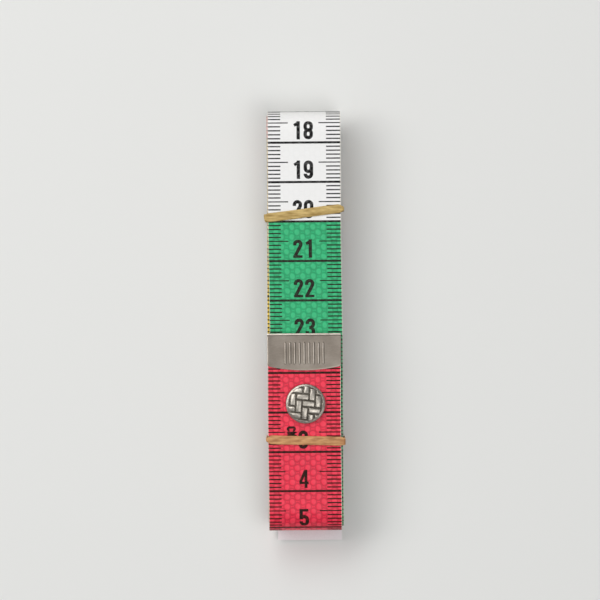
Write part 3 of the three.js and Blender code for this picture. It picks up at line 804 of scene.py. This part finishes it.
def draw_stroke(mesh, weight, points, turn):
    """A flat stroke of even width along a line, as a thin closed solid."""
    points = [Vector(point) for point in points]
    kept = [points[0]]
    for a, b in zip(points, points[1:]):
        pieces = math.ceil((b - a).length / stroke_step - stroke_slack)
        kept += [a.lerp(b, (i + 1) / pieces) for i in range(pieces)]
    closed = (kept[0] - kept[-1]).length < same_place
    if closed:
        kept = kept[:-1]
    count = len(kept)
    rings = []
    for i, here in enumerate(kept):
        into = here - kept[i - 1] if closed or i else kept[1] - here
        out = kept[(i + 1) % count] - here if closed or i + 1 < count else into
        into_side = Vector((-into.y, into.x)).normalized()
        out_side = Vector((-out.y, out.x)).normalized()
        mean = (into_side + out_side).normalized()
        reach = mean * weight / 2 / max(mean.dot(into_side), sharpest_mitre)
        ring = []
        for side, level in ((1, 0), (1, 1), (-1, 1), (-1, 0)):
            x, y = here + side * reach
            ring.append(mesh.verts.new(turn @ Vector((x, y, (level - 0.5) * ink_height))))
        rings.append(ring)
    skin(mesh, rings, closed)
    if not closed:
        mesh.faces.new(rings[0][::-1])
        mesh.faces.new(rings[-1])


def draw_figures(mesh, figures, turn):
    """Figures side by side at an even pitch, centred on their place."""
    for i, figure in enumerate(figures):
        step = (i - (len(figures) - 1) / 2) * figure_pitch
        for layer, (weight, points) in enumerate(figure_strokes(figure)):
            place = Matrix.Translation((step, figure_stroke / 2, layer * stroke_layer))
            draw_stroke(mesh, weight, points, turn @ place)


ink_level = (tape_thickness + ink_height) / 2
unit_from_zero = 0.0248
unit_shift = -0.0044
unit_share = 0.46


def printed_scale(name, numbers, first, count, turn=None, with_unit=False):
    """The lines and numbers of a stretch of the scale, still flat."""
    mesh = bmesh.new()
    for number in numbers:
        foot = -(number * 10 * millimetre - figure_above_line)
        draw_figures(mesh, str(number), Matrix.Translation((figure_shift, foot, ink_level)))
    if with_unit:
        down = Matrix.Translation((unit_shift, -unit_from_zero, ink_level))
        down = down @ Matrix.Rotation(-math.pi / 2, 4, "Z")
        draw_figures(mesh, "CM", down @ Matrix.Diagonal((unit_share, unit_share, 1, 1)))
    bmesh.ops.recalc_face_normals(mesh, faces=mesh.faces)
    made = grow(as_object(name, mesh), scale_tree, {
        "First": first, "Count": count, "Unit Marks": unit_marks, "Spacing": millimetre,
        "Half Width": tape_width / 2 - line_margin, "Shift": print_shift,
        "Short Inner": short_line_inner, "Half Inner": half_line_inner,
        "Unit Inner": unit_line_inner, "Fine": fine_line, "Half Fine": half_line,
        "Full": full_line, "Level": ink_level,
    })
    if turn is not None:
        flat = settle(made, None)
        flat.data.transform(turn)
    return wrap(made, ink, ink)


free_marks = 29
free_scale = printed_scale("free_end_scale", [1, 2, 3], 0, free_marks + 1, with_unit=True)
settle(free_scale, None)
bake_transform(free_scale)

wound_numbers = range(4, int(line_length / (10 * millimetre)) + 1)
wound_marks = int(line_length / millimetre) - free_marks - 1
wound_scale = printed_scale("wound_scale", wound_numbers, free_marks + 1, wound_marks)
settle(wound_scale, "bundle")

# The other face is printed from the other end, so it starts from the inner tip.
over = Matrix.Translation((0, -tape_length, 0)) @ Matrix.Rotation(math.pi, 4, "X")
back_first = int(round(tape_length / millimetre)) - free_marks
back_numbers = [148, 149, 150]
back_scale = printed_scale("free_end_back_scale", back_numbers, back_first, free_marks + 1, over)
settle(back_scale, None)
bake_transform(back_scale)

bpy.data.objects.remove(tape_curve)


# The tips. Nickel-plated strip steel, 0.25 mm thick, folded over each end of the tape and pressed
# tight. A ridge runs beside the fold, the open edge bows outwards, and the front one has ribs.
tip_low, tip_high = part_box("zero_end_tip")
tip_half = (tip_high.x - tip_low.x) / 2
tip_side = 0.0083
tip_centre = 0.0094
tip_half_depth = 0.0006
tip_wall = 0.00025
tip_corner = 0.0007
tip_lip = 0.0003
tip_lip_drop = 0.00007
fold_corner = 0.00012
fold_heel = 0.0003
ridge_at = 0.00043
ridge_rise = 0.00008
ridge_foot = 0.00062
plate_rows = 96
row_crowding = 1.5
fold_rows = 6
# Where the painted highlight and the painted shade lie beside the ridge.
highlight_before = 0.00003
highlight_after = 0.00005
shade_before = 0.00004
shade_reach = 0.00013
rib_count = 9
rib_pitch = 0.0012
rib_half_width = 0.00027
rib_height = 0.00016
rib_from_zero = 0.0023
rib_length = 0.0056


def smooth(low, high, value):
    """A smooth step from 0 to 1."""
    share = min(max((value - low) / (high - low), 0), 1)
    return share * share * (3 - 2 * share)


def tip_reach(x):
    """How far the open edge lies from the fold, at a place across the tip."""
    bow = tip_centre - (tip_centre - tip_side) * (x / tip_half) ** 2
    inset = min(max(0, abs(x) - tip_half + tip_corner), tip_corner)
    return bow - tip_corner + math.sqrt(tip_corner ** 2 - inset ** 2)


def tip_relief(x, back, edge):
    """The ridge that the fold leaves beside it, and the lip round the plate."""
    if back < ridge_at:
        relief = ridge_rise * (back - fold_corner) / (ridge_at - fold_corner)
    else:
        relief = ridge_rise * (1 - smooth(ridge_at, ridge_foot, back))
    rim = min(edge - back, tip_half - abs(x))
    return relief - tip_lip_drop * max(0, 1 - rim / tip_lip) ** 2


def rib_relief(x, back):
    """One of the upright pressed ribs, round on top and at both ends."""
    nearest = round(x / rib_pitch) * rib_pitch
    if abs(nearest) > (rib_count // 2 + 0.5) * rib_pitch:
        return 0
    start, end = rib_from_zero + rib_half_width, rib_from_zero + rib_length - rib_half_width
    beyond = max(start - back, back - end, 0)
    away = math.hypot(x - nearest, beyond) / rib_half_width
    return rib_height * math.sqrt(1 - away ** 2) if away < 1 else 0


def tip_wear(x, back, ribbed):
    """How much painted highlight and painted shade a place on the plate gets."""
    # Painted highlight on the fold's flank up to the ridge; painted shade in a line just past it.
    bright = 1 - smooth(ridge_at - highlight_before, ridge_at + highlight_after, back)
    dull = max(0, 1 - abs(back - ridge_foot + shade_before) / shade_reach)
    if ribbed:
        # On the ribs: painted highlight on the crests, painted shade round their feet.
        crest = rib_relief(x, back) / rib_height
        bright += 0.5 * smooth(0.75, 1, crest)
        dull += 0.8 * smooth(0.05, 0.4, crest) * (1 - smooth(0.4, 0.75, crest))
    return bright, dull


def tip_section(x, ribbed):
    """The tip's outer face at a place across it: distances from the fold, heights and painted
    light.
    """
    edge = tip_reach(x)
    section = []
    for row in range(plate_rows + 1):
        back = fold_corner + (edge - fold_corner) * (1 - row / plate_rows) ** row_crowding
        height = tip_half_depth + tip_relief(x, back, edge) + (rib_relief(x, back) if ribbed else 0)
        section.append((back, height, tip_wear(x, back, ribbed)))
    shoulder = section[-1][1]
    # Round the fold the plate gets the full painted highlight.
    for row in range(1, fold_rows + 1):
        angle = math.pi / 2 * row / fold_rows
        height = shoulder - fold_corner * (1 - math.cos(angle))
        section.append((fold_corner * (1 - math.sin(angle)), height, (1, 0)))
    for row in range(fold_rows + 1):
        angle = math.pi / 2 * row / fold_rows
        height = fold_heel * (1 - math.sin(angle)) - tip_half_depth
        section.append((fold_heel * (1 - math.cos(angle)), height, (0, 0)))
    for row in range(1, fold_rows + 1):
        section.append((fold_heel + (edge - fold_heel) * row / fold_rows, -tip_half_depth, (0, 0)))
    return edge, section


def folded_tip(name, place, step, ribbed):
    """A strip folded over: an outer and an inner skin, joined round their rims."""
    mesh = bmesh.new()
    highlight_layer = mesh.verts.layers.float.new("bright")
    shade_layer = mesh.verts.layers.float.new("dull")
    half_count = int((tip_half - step / 2) / step)
    across = [-tip_half] + [step * i for i in range(-half_count, half_count + 1)] + [tip_half]
    thinner = 1 - tip_wall / tip_half_depth
    rings = []
    for x in across:
        edge, section = tip_section(x, ribbed)
        outer = [mesh.verts.new((x, -back, height)) for back, height, painted_light in section]
        for vertex, (back, height, painted_light) in zip(outer, section):
            vertex[highlight_layer], vertex[shade_layer] = painted_light
        inner = [
            mesh.verts.new((x, -tip_wall - back * (1 - tip_wall / edge), height * thinner))
            for back, height, painted_light in section
        ]
        rings.append(outer + inner[::-1])
    skin(mesh, rings)
    for ring in (rings[0], rings[-1]):
        for k in range(len(ring) // 2 - 1):
            mesh.faces.new((ring[k], ring[-1 - k], ring[-2 - k], ring[k + 1]))
    bmesh.ops.recalc_face_normals(mesh, faces=mesh.faces)
    mesh.transform(place)
    return as_object(name, mesh, tip_steel)


# Nickel plate on strip steel, satin from the rolls: a warm grey with faint streaks along the strip,
# drawn coarser than they are so that they show. A painted highlight lies on the fold and on the rib
# crests, and painted shade in a line past the ridge and round the ribs' feet.
streak_size = 0.0002
streak_depth = 0.00002
cloud_size = 0.004
tip_steel, steel_tree, steel_shader = new_finish("nickel_plated_strip_steel")
steel_place = add(steel_tree, "ShaderNodeTexCoord", out="Object")
steel_stretch = add(steel_tree, "ShaderNodeMapping", {
    "Vector": steel_place, "Scale": (0.25, 1.0, 1.0),
})
steel_streak = add(steel_tree, "ShaderNodeTexNoise", {
    "Vector": steel_stretch, "Scale": 1 / streak_size, "Detail": 4.0,
})
steel_cloud = add(steel_tree, "ShaderNodeTexNoise", {
    "Vector": steel_place, "Scale": 1 / cloud_size, "Detail": 2.0,
})
steel_mottle = add(steel_tree, "ShaderNodeMath", [
    steel_streak, 0.5, steel_cloud,
], operation="MULTIPLY_ADD")
steel_share = add(steel_tree, "ShaderNodeMapRange", {
    "Value": steel_mottle, "From Min": 0.45, "From Max": 1.05,
})
steel_colour = add(steel_tree, "ShaderNodeMix", {
    0: steel_share, 6: linear("#8C8277"), 7: linear("#A59B90"),
}, out=2, data_type="RGBA")
# Painted shade and a mottled painted highlight, from the plate's attributes.
steel_painted_shade = add(steel_tree, "ShaderNodeAttribute", out="Fac", attribute_name="dull")
steel_colour = add(steel_tree, "ShaderNodeMix", {
    0: steel_painted_shade, 6: steel_colour, 7: linear("#4E4943"),
}, out=2, data_type="RGBA")
steel_painted_highlight = add(steel_tree, "ShaderNodeAttribute", out="Fac", attribute_name="bright")
steel_highlight_mottle = add(steel_tree, "ShaderNodeMapRange", {
    "Value": steel_mottle, "From Min": 0.55, "From Max": 0.95, "To Min": 0.45, "To Max": 1.0,
})
steel_painted_highlight = add(steel_tree, "ShaderNodeMath", [steel_painted_highlight, steel_highlight_mottle], operation="MULTIPLY")
steel_colour = add(steel_tree, "ShaderNodeMix", {
    0: steel_painted_highlight, 6: steel_colour, 7: linear("#CDC5B9"),
}, out=2, data_type="RGBA")
steel_bump = add(steel_tree, "ShaderNodeBump", {
    "Strength": 0.25, "Distance": streak_depth, "Height": steel_streak,
})
steel_rough = add(steel_tree, "ShaderNodeMapRange", {
    "Value": steel_cloud, "To Min": 0.34, "To Max": 0.46,
})
plug(steel_shader, {
    "Base Color": steel_colour, "Normal": steel_bump, "Roughness": steel_rough, "Metallic": 1.0,
})

front_step = 0.00006
back_step = 0.0003
front_stray = Vector((stray_at(tip_centre / 2), 0, 0))
front_place = Matrix.Translation(tape_line[0] + front_stray) @ Matrix.Rotation(-droop_angle, 4, "X")
front_tip = folded_tip("front_tip", front_place, front_step, True)
settle(front_tip, "free_end")
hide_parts("zero_end_tip")

inner_level = (inner_tip_low.z + inner_tip_high.z) / 2
back_place = Matrix.Translation((stray_at(line_length), inner_tip_low.y, inner_level))
back_place = back_place @ Matrix.Rotation(math.pi, 4, "Z")
back_tip = folded_tip("inner_tip", back_place, back_step, False)
settle(back_tip, "bundle")
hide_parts("inner_end_tip")


# The snap cap. Brass sheet, drawn to a low dome with a weave pressed into it, nickel-plated and
# rubbed down so that the hollows stay dark. Its edge is rolled under and holds the rivet's head.
cap_low, cap_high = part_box("snap_cap")
snap_y = (cap_low.y + cap_high.y) / 2
tape_top = free_high.z
cap_radius = (cap_high.x - cap_low.x) / 2
cap_crown = 0.00175
cap_shoulder = 0.00095
cap_wall = 0.0002
cap_seat = 0.00015
cap_roll = 0.0003
cap_under = 0.0037
cap_bulge = 3.0
weave_pitch = 0.00164
weave_gap = 0.00007
weave_end = 0.00026
weave_arch = 0.25
weave_depth = 0.0003
weave_sink = 0.00015
weave_edge = 0.00455
weave_fade = 0.0002
weave_turn = math.radians(-5)
strap_square = 3.4
rim_rub = 0.8
cap_rings = 80
cap_sides = 240
roll_steps = 8


def strap(across, along):
    """The height of a strap where it lies on top: round over its width, arched between its ends."""
    off = 2 * across / (weave_pitch - weave_gap)
    left = weave_pitch - weave_gap / 2 - along
    arch = 1 - weave_arch * (along / weave_pitch) ** 2
    return max(0, 1 - off ** strap_square) * smooth(0, weave_end, left) * arch


def weave_height(x, y):
    """The relief at a place on the cap, from 0 in the hollows to 1: each strap goes over two."""
    across = (x * math.cos(weave_turn) + y * math.sin(weave_turn)) / weave_pitch
    along = (y * math.cos(weave_turn) - x * math.sin(weave_turn)) / weave_pitch
    column, row = round(across), round(along)
    turn = (column + row + 2) % 4
    if turn < 2:
        off, past = across - column, along - row - 0.5 + turn
    else:
        off, past = along - row, across - column - 2.5 + turn
    return strap(abs(off) * weave_pitch, abs(past) * weave_pitch)


cap_mesh = bmesh.new()
relief_layer = cap_mesh.verts.layers.float.new("relief")
cap_profile = []
rim_slope = math.atan(cap_bulge * (cap_crown - cap_shoulder) / cap_radius)
dome_reach = cap_radius - cap_roll * (1 - math.sin(rim_slope))
for ring in range(1, cap_rings + 1):
    ring_radius = dome_reach * ring / cap_rings
    ring_fall = (cap_crown - cap_shoulder) * (ring_radius / cap_radius) ** cap_bulge
    cap_profile.append((ring_radius, cap_crown - ring_fall))
roll_centre = cap_profile[-1][1] - cap_roll * math.cos(rim_slope)
for ring in range(1, roll_steps + 1):
    ring_angle = (math.pi / 2 - rim_slope) * (1 - ring / roll_steps)
    ring_place = cap_radius - cap_roll + cap_roll * math.cos(ring_angle)
    cap_profile.append((ring_place, roll_centre + cap_roll * math.sin(ring_angle)))
for ring in range(roll_steps + 1):
    ring_angle = -math.pi / 2 * ring / roll_steps
    ring_place = cap_radius - cap_roll + cap_roll * math.cos(ring_angle)
    cap_profile.append((ring_place, cap_seat + cap_roll + cap_roll * math.sin(ring_angle)))
cap_profile.append(((cap_radius + cap_under) / 2, cap_seat))
cap_profile.append((cap_under, cap_seat))
cap_centre = cap_mesh.verts.new((0, 0, cap_crown))
cap_rows = [[cap_centre] * cap_sides]
for ring_radius, ring_height in cap_profile:
    cap_row = []
    for side in range(cap_sides):
        side_angle = math.tau * side / cap_sides
        x, y = ring_radius * math.cos(side_angle), ring_radius * math.sin(side_angle)
        on_dome = ring_height > cap_shoulder - cap_roll / 2
        fade = 1 - smooth(weave_edge - weave_fade, weave_edge, ring_radius) if on_dome else 0
        height = weave_height(x, y)
        relief = fade * (weave_depth * height - weave_sink)
        vertex = cap_mesh.verts.new((x, y, ring_height + relief))
        vertex[relief_layer] = fade * height + (1 - fade) * rim_rub
        cap_row.append(vertex)
    cap_rows.append(cap_row)
skin(cap_mesh, cap_rows[::-1])
cap_centre[relief_layer] = weave_height(0, 0)
cap_centre.co.z += weave_depth * weave_height(0, 0) - weave_sink
cap_mesh.transform(Matrix.Translation((0, snap_y, tape_top)))

# Nickel on brass, tumbled bright on the straps and blackened in the hollows between them.
grain_size = 0.0004
grain_depth = 0.00006
cap_nickel, cap_tree, cap_shader = new_finish("rubbed_nickel_plate")
cap_relief = add(cap_tree, "ShaderNodeAttribute", out="Fac", attribute_name="relief")
cap_space = add(cap_tree, "ShaderNodeTexCoord", out="Object")
cap_grain = add(cap_tree, "ShaderNodeTexNoise", {
    "Vector": cap_space, "Scale": 1 / grain_size, "Detail": 3.0,
})
cap_rub = add(cap_tree, "ShaderNodeMath", [cap_grain, 1.2, cap_relief], operation="MULTIPLY_ADD")
cap_share = add(cap_tree, "ShaderNodeMapRange", {
    "Value": cap_rub, "From Min": 0.45, "From Max": 1.85,
}, interpolation_type="SMOOTHSTEP")
cap_colour = add(cap_tree, "ShaderNodeMix", {
    0: cap_share, 6: linear("#5A544C"), 7: linear("#C2BBB0"),
}, out=2, data_type="RGBA")
cap_rough = add(cap_tree, "ShaderNodeMapRange", {"Value": cap_share, "To Min": 0.5, "To Max": 0.36})
cap_bump = add(cap_tree, "ShaderNodeBump", {
    "Strength": 0.6, "Distance": grain_depth, "Height": cap_grain,
})
plug(cap_shader, {
    "Base Color": cap_colour, "Roughness": cap_rough, "Normal": cap_bump, "Metallic": 1.0,
})
woven_cap = as_object("woven_cap", cap_mesh, cap_nickel)
cap_shell = woven_cap.modifiers.new("wall", "SOLIDIFY")
cap_shell.thickness = cap_wall
cap_shell.offset = -1
settle(woven_cap, "free_end", 60)
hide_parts("snap_cap")


# The turned pieces of the snap: the rivet under the cap, the socket that it holds to the tape's
# other face, and the stud with its eyelet. All are pressed from thin brass and nickel-plated, which
# leaves them bright under a faint haze from the bath.
haze_size = 0.0012
haze_depth = 0.00003
plated, plated_tree, plated_shader = new_finish("bright_nickel_plate")
plated_space = add(plated_tree, "ShaderNodeTexCoord", out="Object")
plated_haze = add(plated_tree, "ShaderNodeTexNoise", {
    "Vector": plated_space, "Scale": 1 / haze_size, "Detail": 4.0,
})
plated_colour = add(plated_tree, "ShaderNodeMix", {
    0: plated_haze, 6: linear("#B5AFA6"), 7: linear("#D2CDC5"),
}, out=2, data_type="RGBA")
plated_rough = add(plated_tree, "ShaderNodeMapRange", {
    "Value": plated_haze, "To Min": 0.16, "To Max": 0.36,
})
plated_bump = add(plated_tree, "ShaderNodeBump", {
    "Strength": 0.12, "Distance": haze_depth, "Height": plated_haze,
})
plug(plated_shader, {
    "Base Color": plated_colour, "Roughness": plated_rough, "Normal": plated_bump, "Metallic": 1.0,
})

sheet_wall = 0.00028
turned_sides = 96
rounding = 0.00008


def turned(name, profile, place, material, body, node):
    """A piece turned from a closed profile of (radius, height), with its edges rounded."""
    mesh = bmesh.new()
    rings = []
    for radius, height in profile:
        if radius == 0:
            rings.append([mesh.verts.new((0, 0, height))] * turned_sides)
            continue
        ring = []
        for side in range(turned_sides):
            angle = math.tau * side / turned_sides
            x, y = radius * math.cos(angle), radius * math.sin(angle)
            ring.append(mesh.verts.new((x, y, height)))
        rings.append(ring)
    skin(mesh, rings, loop=True)
    bmesh.ops.recalc_face_normals(mesh, faces=mesh.faces)
    mesh.transform(place)
    made = as_object(name, mesh, material)
    eased = made.modifiers.new("eased edges", "BEVEL")
    eased.width = rounding
    eased.segments = 3
    eased.limit_method = "ANGLE"
    eased.angle_limit = math.radians(25)
    settle(made, body, 50)
    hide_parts(node)
    return made


rivet_bore = 0.0007
rivet_shank = 0.0011
rivet_flare = 0.00175
rivet_head = 0.0041
fit_gap = 0.00015
head_low = 2 * fit_gap + sheet_wall
flare_high = -tape_thickness - 2 * fit_gap - sheet_wall
turned("rivet_of_cap", [
    (rivet_bore, flare_high - sheet_wall),
    (rivet_flare, flare_high - sheet_wall),
    (rivet_flare, flare_high),
    (rivet_shank, flare_high),
    (rivet_shank, head_low),
    (rivet_head, head_low),
    (rivet_head, head_low + sheet_wall),
    (0, head_low + sheet_wall),
    (0, head_low),
    (rivet_bore, head_low),
], Matrix.Translation((0, snap_y, tape_top)), plated, "free_end", "cap_rivet")

socket_low, socket_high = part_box("snap_socket")
socket_radius = (socket_high.x - socket_low.x) / 2
socket_height = socket_high.z - socket_low.z
socket_mouth = 0.00245
socket_lip = 0.00012
turned("socket_of_snap", [
    (rivet_hole, 0),
    (rivet_hole, -sheet_wall),
    (socket_radius - 2 * sheet_wall, -sheet_wall),
    (socket_radius - sheet_wall, -2 * sheet_wall),
    (socket_radius - sheet_wall, -socket_height + 2 * sheet_wall),
    (socket_radius - 2 * sheet_wall, -socket_height + sheet_wall),
    (socket_mouth + sheet_wall, -socket_height + sheet_wall),
    (socket_mouth, -socket_height + sheet_wall + socket_lip),
    (socket_mouth, -socket_height),
    (socket_radius - 2 * sheet_wall, -socket_height),
    (socket_radius, -socket_height + 2 * sheet_wall),
    (socket_radius, -2 * sheet_wall),
    (socket_radius - 2 * sheet_wall, 0),
], Matrix.Translation((0, snap_y, socket_high.z)), plated, "free_end", "snap_socket")

stud_height = stud_high.z - stud_low.z
stud_flange = (stud_high.x - stud_low.x) / 2
stud_nib = 0.00205
stud_neck = 0.00175
stud_flange_edge = 0.0005
stud_head = 0.00062
stud_head_edge = 0.00034
under = Matrix.Translation((0, stud_y, stud_high.z)) @ Matrix.Rotation(math.pi, 4, "X")
turned("stud_of_snap", [
    (rivet_hole, 0),
    (stud_flange - sheet_wall, 0),
    (stud_flange, sheet_wall),
    (stud_flange - sheet_wall, stud_flange_edge),
    (stud_nib + sheet_wall, 1.25 * sheet_wall),
    (stud_neck, 2 * sheet_wall),
    (stud_neck, stud_height - stud_head),
    (stud_nib, stud_height - stud_head_edge),
    (stud_nib, stud_height - sheet_wall),
    (stud_nib - sheet_wall, stud_height),
    (0, stud_height),
    (0, stud_height - sheet_wall),
    (rivet_hole, stud_height - 2 * sheet_wall),
], under, plated, "bundle", "snap_stud")

eyelet_low, eyelet_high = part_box("stud_eyelet")
eyelet_radius = (eyelet_high.x - eyelet_low.x) / 2
eyelet_depth = eyelet_high.z - eyelet_low.z
turned("eyelet_of_stud", [
    (rivet_bore, 0),
    (eyelet_radius, 0),
    (eyelet_radius, -sheet_wall),
    (rivet_shank, -sheet_wall),
    (rivet_shank, -eyelet_depth),
    (rivet_bore, -eyelet_depth),
], Matrix.Translation((0, stud_y, eyelet_high.z)), plated, "bundle", "stud_eyelet")


# The socket's spring. One bright steel wire, 0.44 mm thick, with a straight leg on each side of the
# mouth and a round stretch along the socket's wall that joins them.
spring_low, spring_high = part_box("socket_spring")
wire_radius = (spring_high.z - spring_low.z) / 2
leg_offset = 0.00185
leg_short = 0.0006
leg_steps = 3
wall_steps = 24
wall_run = socket_radius - sheet_wall - wire_radius - fit_gap
leg_angle = math.acos(leg_offset / wall_run)
leg_end = wall_run * math.sin(leg_angle) - leg_short
end_turn = math.radians(9)
leg_places = [leg_end * (2 * i / leg_steps - 1) for i in range(leg_steps + 1)]
wire_route = [(-leg_offset, y) for y in leg_places]
for i in range(wall_steps + 1):
    turn = math.pi - leg_angle - end_turn + (2 * end_turn - math.pi) * i / wall_steps
    wire_route.append((wall_run * math.cos(turn), wall_run * math.sin(turn)))
wire_route += [(leg_offset, y) for y in leg_places]
wire_level = (spring_low.z + spring_high.z) / 2
wire_curve = poly_line("wire_spring_line", [(x, snap_y + y, wire_level) for x, y in wire_route])
wire_curve.data.bevel_depth = wire_radius
wire_curve.data.bevel_resolution = 5
wire_curve.data.use_fill_caps = True
wire_seen = bpy.context.evaluated_depsgraph_get()
wire_curve_seen = wire_curve.evaluated_get(wire_seen)
wire_mesh = bpy.data.meshes.new_from_object(wire_curve_seen, depsgraph=wire_seen)
bpy.data.objects.remove(wire_curve)
wire_spring = bpy.data.objects.new("wire_spring", wire_mesh)
scene.collection.objects.link(wire_spring)

# Drawn spring steel is bright. Its draw lines are made coarser than they are, so that they show.
draw_size = 0.0002
spring_steel, spring_tree, spring_shader = new_finish("bright_spring_steel")
spring_space = add(spring_tree, "ShaderNodeTexCoord", out="Object")
spring_draw = add(spring_tree, "ShaderNodeTexNoise", {
    "Vector": spring_space, "Scale": 1 / draw_size,
})
spring_rough = add(spring_tree, "ShaderNodeMapRange", {
    "Value": spring_draw, "To Min": 0.22, "To Max": 0.42,
})
plug(spring_shader, {"Roughness": spring_rough, "Base Color": linear("#A7A7A4"), "Metallic": 1.0})
wire_spring.data.materials.clear()
wire_spring.data.materials.append(spring_steel)
settle(wire_spring, "free_end", 60)
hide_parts("socket_spring")


# The rubber bands. Natural latex, cut from a tube to a flat section that rounds at its edges. Each
# goes once round the bundle, half turned over at one side, and is held by its own stretch.
band_width = 0.00225
band_section_steps = 20
band_corner_steps = 10
band_flat_step = 0.0004
band_square = 0.6
band_flat = 0.8
band_wave = 0.00008
band_waves = 3
band_pinch = 0.2
band_turned = 0.5
band_turn_reach = 0.0012
latex_streak = 0.0006
latex_pit = 0.00025
latex_pit_depth = 0.00004


def rubber(name, dark, light):
    """Latex that has dried a little: matt, cloudy and streaked along the band."""
    made, tree, shader = new_finish(name)
    place = add(tree, "ShaderNodeTexCoord", out="Object")
    drawn = add(tree, "ShaderNodeMapping", {"Vector": place, "Scale": (0.22, 1.0, 0.22)})
    cloud = add(tree, "ShaderNodeTexNoise", {
        "Vector": drawn, "Scale": 1 / latex_streak, "Detail": 5.0,
    })
    share = add(tree, "ShaderNodeMapRange", {"Value": cloud, "From Min": 0.3, "From Max": 0.72})
    colour = add(tree, "ShaderNodeMix", {
        0: share, 6: linear(dark), 7: linear(light),
    }, out=2, data_type="RGBA")
    pits = add(tree, "ShaderNodeTexNoise", {"Vector": place, "Scale": 1 / latex_pit, "Detail": 2.0})
    bump = add(tree, "ShaderNodeBump", {
        "Strength": 0.35, "Distance": latex_pit_depth, "Height": pits,
    })
    plug(shader, {"Base Color": colour, "Normal": bump, "Roughness": 0.58, "IOR": 1.52})
    return made


def band_line(half, low, high, corner):
    """Once round the bundle, in its cross-section: points with their outward direction."""
    line = []
    side = half - corner
    centres = [Vector((x, 0, z)) for x, z in (
        (side, high - corner), (-side, high - corner), (-side, low + corner), (side, low + corner),
    )]
    for index, centre in enumerate(centres):
        for i in range(band_corner_steps + 1):
            angle = math.radians(90 * (index + i / band_corner_steps))
            outward = Vector((math.cos(angle), 0, math.sin(angle)))
            line.append((centre + corner * outward, outward))
        begin, end = line[-1][0], centres[(index + 1) % 4] + corner * outward
        pieces = math.ceil((end - begin).length / band_flat_step)
        line += [(begin.lerp(end, i / pieces), outward) for i in range(1, pieces)]
    return line


def rubber_band(name, node, inner, tilt, shift, turned_side, material, body):
    """A flat rounded section swept once round the bundle, half turned over at one side."""
    low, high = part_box(node)
    middle_y = (low.y + high.y) / 2 + shift
    half_thick = band_thickness / 2
    half = tape_width / 2 / math.cos(tilt) + band_width / 2 * math.tan(abs(tilt))
    half += side_room + half_thick
    line = band_line(half, inner[0] - half_thick, inner[1] + half_thick, band_corner)
    mesh = bmesh.new()
    rings = []
    for index, (point, outward) in enumerate(line):
        sway = band_wave * math.sin(math.tau * band_waves * index / len(line))
        beside = smooth(half - band_turn_reach, half, abs(point.x))
        pinch = beside * (band_turned if point.x * turned_side > 0 else band_pinch)
        ring = []
        for step in range(band_section_steps):
            angle = math.tau * step / band_section_steps
            wide = math.copysign(abs(math.cos(angle)) ** band_square, math.cos(angle))
            wide *= (1 - pinch) * band_width / 2
            thick = math.copysign(abs(math.sin(angle)) ** band_flat, math.sin(angle)) * half_thick
            ring.append(mesh.verts.new(point + outward * thick + Vector((0, wide + sway, 0))))
        rings.append(ring)
    skin(mesh, rings, loop=True)
    bmesh.ops.recalc_face_normals(mesh, faces=mesh.faces)
    mesh.transform(Matrix.Translation((0, middle_y, 0)) @ Matrix.Rotation(tilt, 4, "Z"))
    made = as_object(name, mesh, material)
    settle(made, body, 60)
    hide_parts(node)
    return made


band_thickness = 0.0004
band_clear = 0.00003
band_corner = 0.0004
side_room = stray_reach + flutter_reach + band_clear
second_top = middle + levels[2] + tape_thickness / 2
upper_tilt = math.radians(6.4)
lower_tilt = math.radians(-2.1)
lower_shift = -0.0003
yellow_rubber = rubber("yellow_latex", "#9A7A38", "#DEC07A")
tan_rubber = rubber("tan_latex", "#A1693A", "#E0AA70")
upper_inner = (winding_low.z - band_clear, second_top + band_clear)
rubber_band(
    "yellow_band", "upper_rubber_band", upper_inner, upper_tilt, 0, 1,
    yellow_rubber, "upper_band",
)
lower_inner = (band_thickness, free_high.z + band_clear)
tan_band = rubber_band(
    "tan_band", "lower_rubber_band", lower_inner, lower_tilt, lower_shift, -1,
    tan_rubber, "lower_band",
)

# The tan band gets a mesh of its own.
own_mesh(tan_band)


# The card slip. A plain strip of uncoated white card behind the bundle, cut square with a
# guillotine, so its edges are sharp and a little fuzzy.
slip_low, slip_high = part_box("card_slip")
slip_mesh = bmesh.new()
slip_size = slip_high - slip_low
slip_centre = (slip_high + slip_low) / 2
slip_place = Matrix.Translation(slip_centre) @ Matrix.Diagonal((*slip_size, 1))
bmesh.ops.create_cube(slip_mesh, size=1, matrix=slip_place)

# Uncoated card is matt. Its fibres show as a faint grain, drawn coarser than they are.
fibre_size = 0.0004
fibre_depth = 0.00003
slip_wear = 0.00006
card, card_tree, card_shader = new_finish("uncoated_card")
card_space = add(card_tree, "ShaderNodeTexCoord", out="Object")
card_fibre = add(card_tree, "ShaderNodeTexNoise", {
    "Vector": card_space, "Scale": 1 / fibre_size, "Detail": 6.0,
})
card_colour = add(card_tree, "ShaderNodeMix", {
    0: card_fibre, 6: linear("#EFEBED"), 7: linear("#FDFAFB"),
}, out=2, data_type="RGBA")
card_bump = add(card_tree, "ShaderNodeBump", {
    "Strength": 0.3, "Distance": fibre_depth, "Height": card_fibre,
})
plug(card_shader, {"Base Color": card_colour, "Normal": card_bump, "Roughness": 0.85})
white_slip = as_object("white_slip", slip_mesh, card)
slip_edges = white_slip.modifiers.new("worn edges", "BEVEL")
slip_edges.width = slip_wear
slip_edges.segments = 2
settle(white_slip, "bundle", 30)
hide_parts("card_slip")
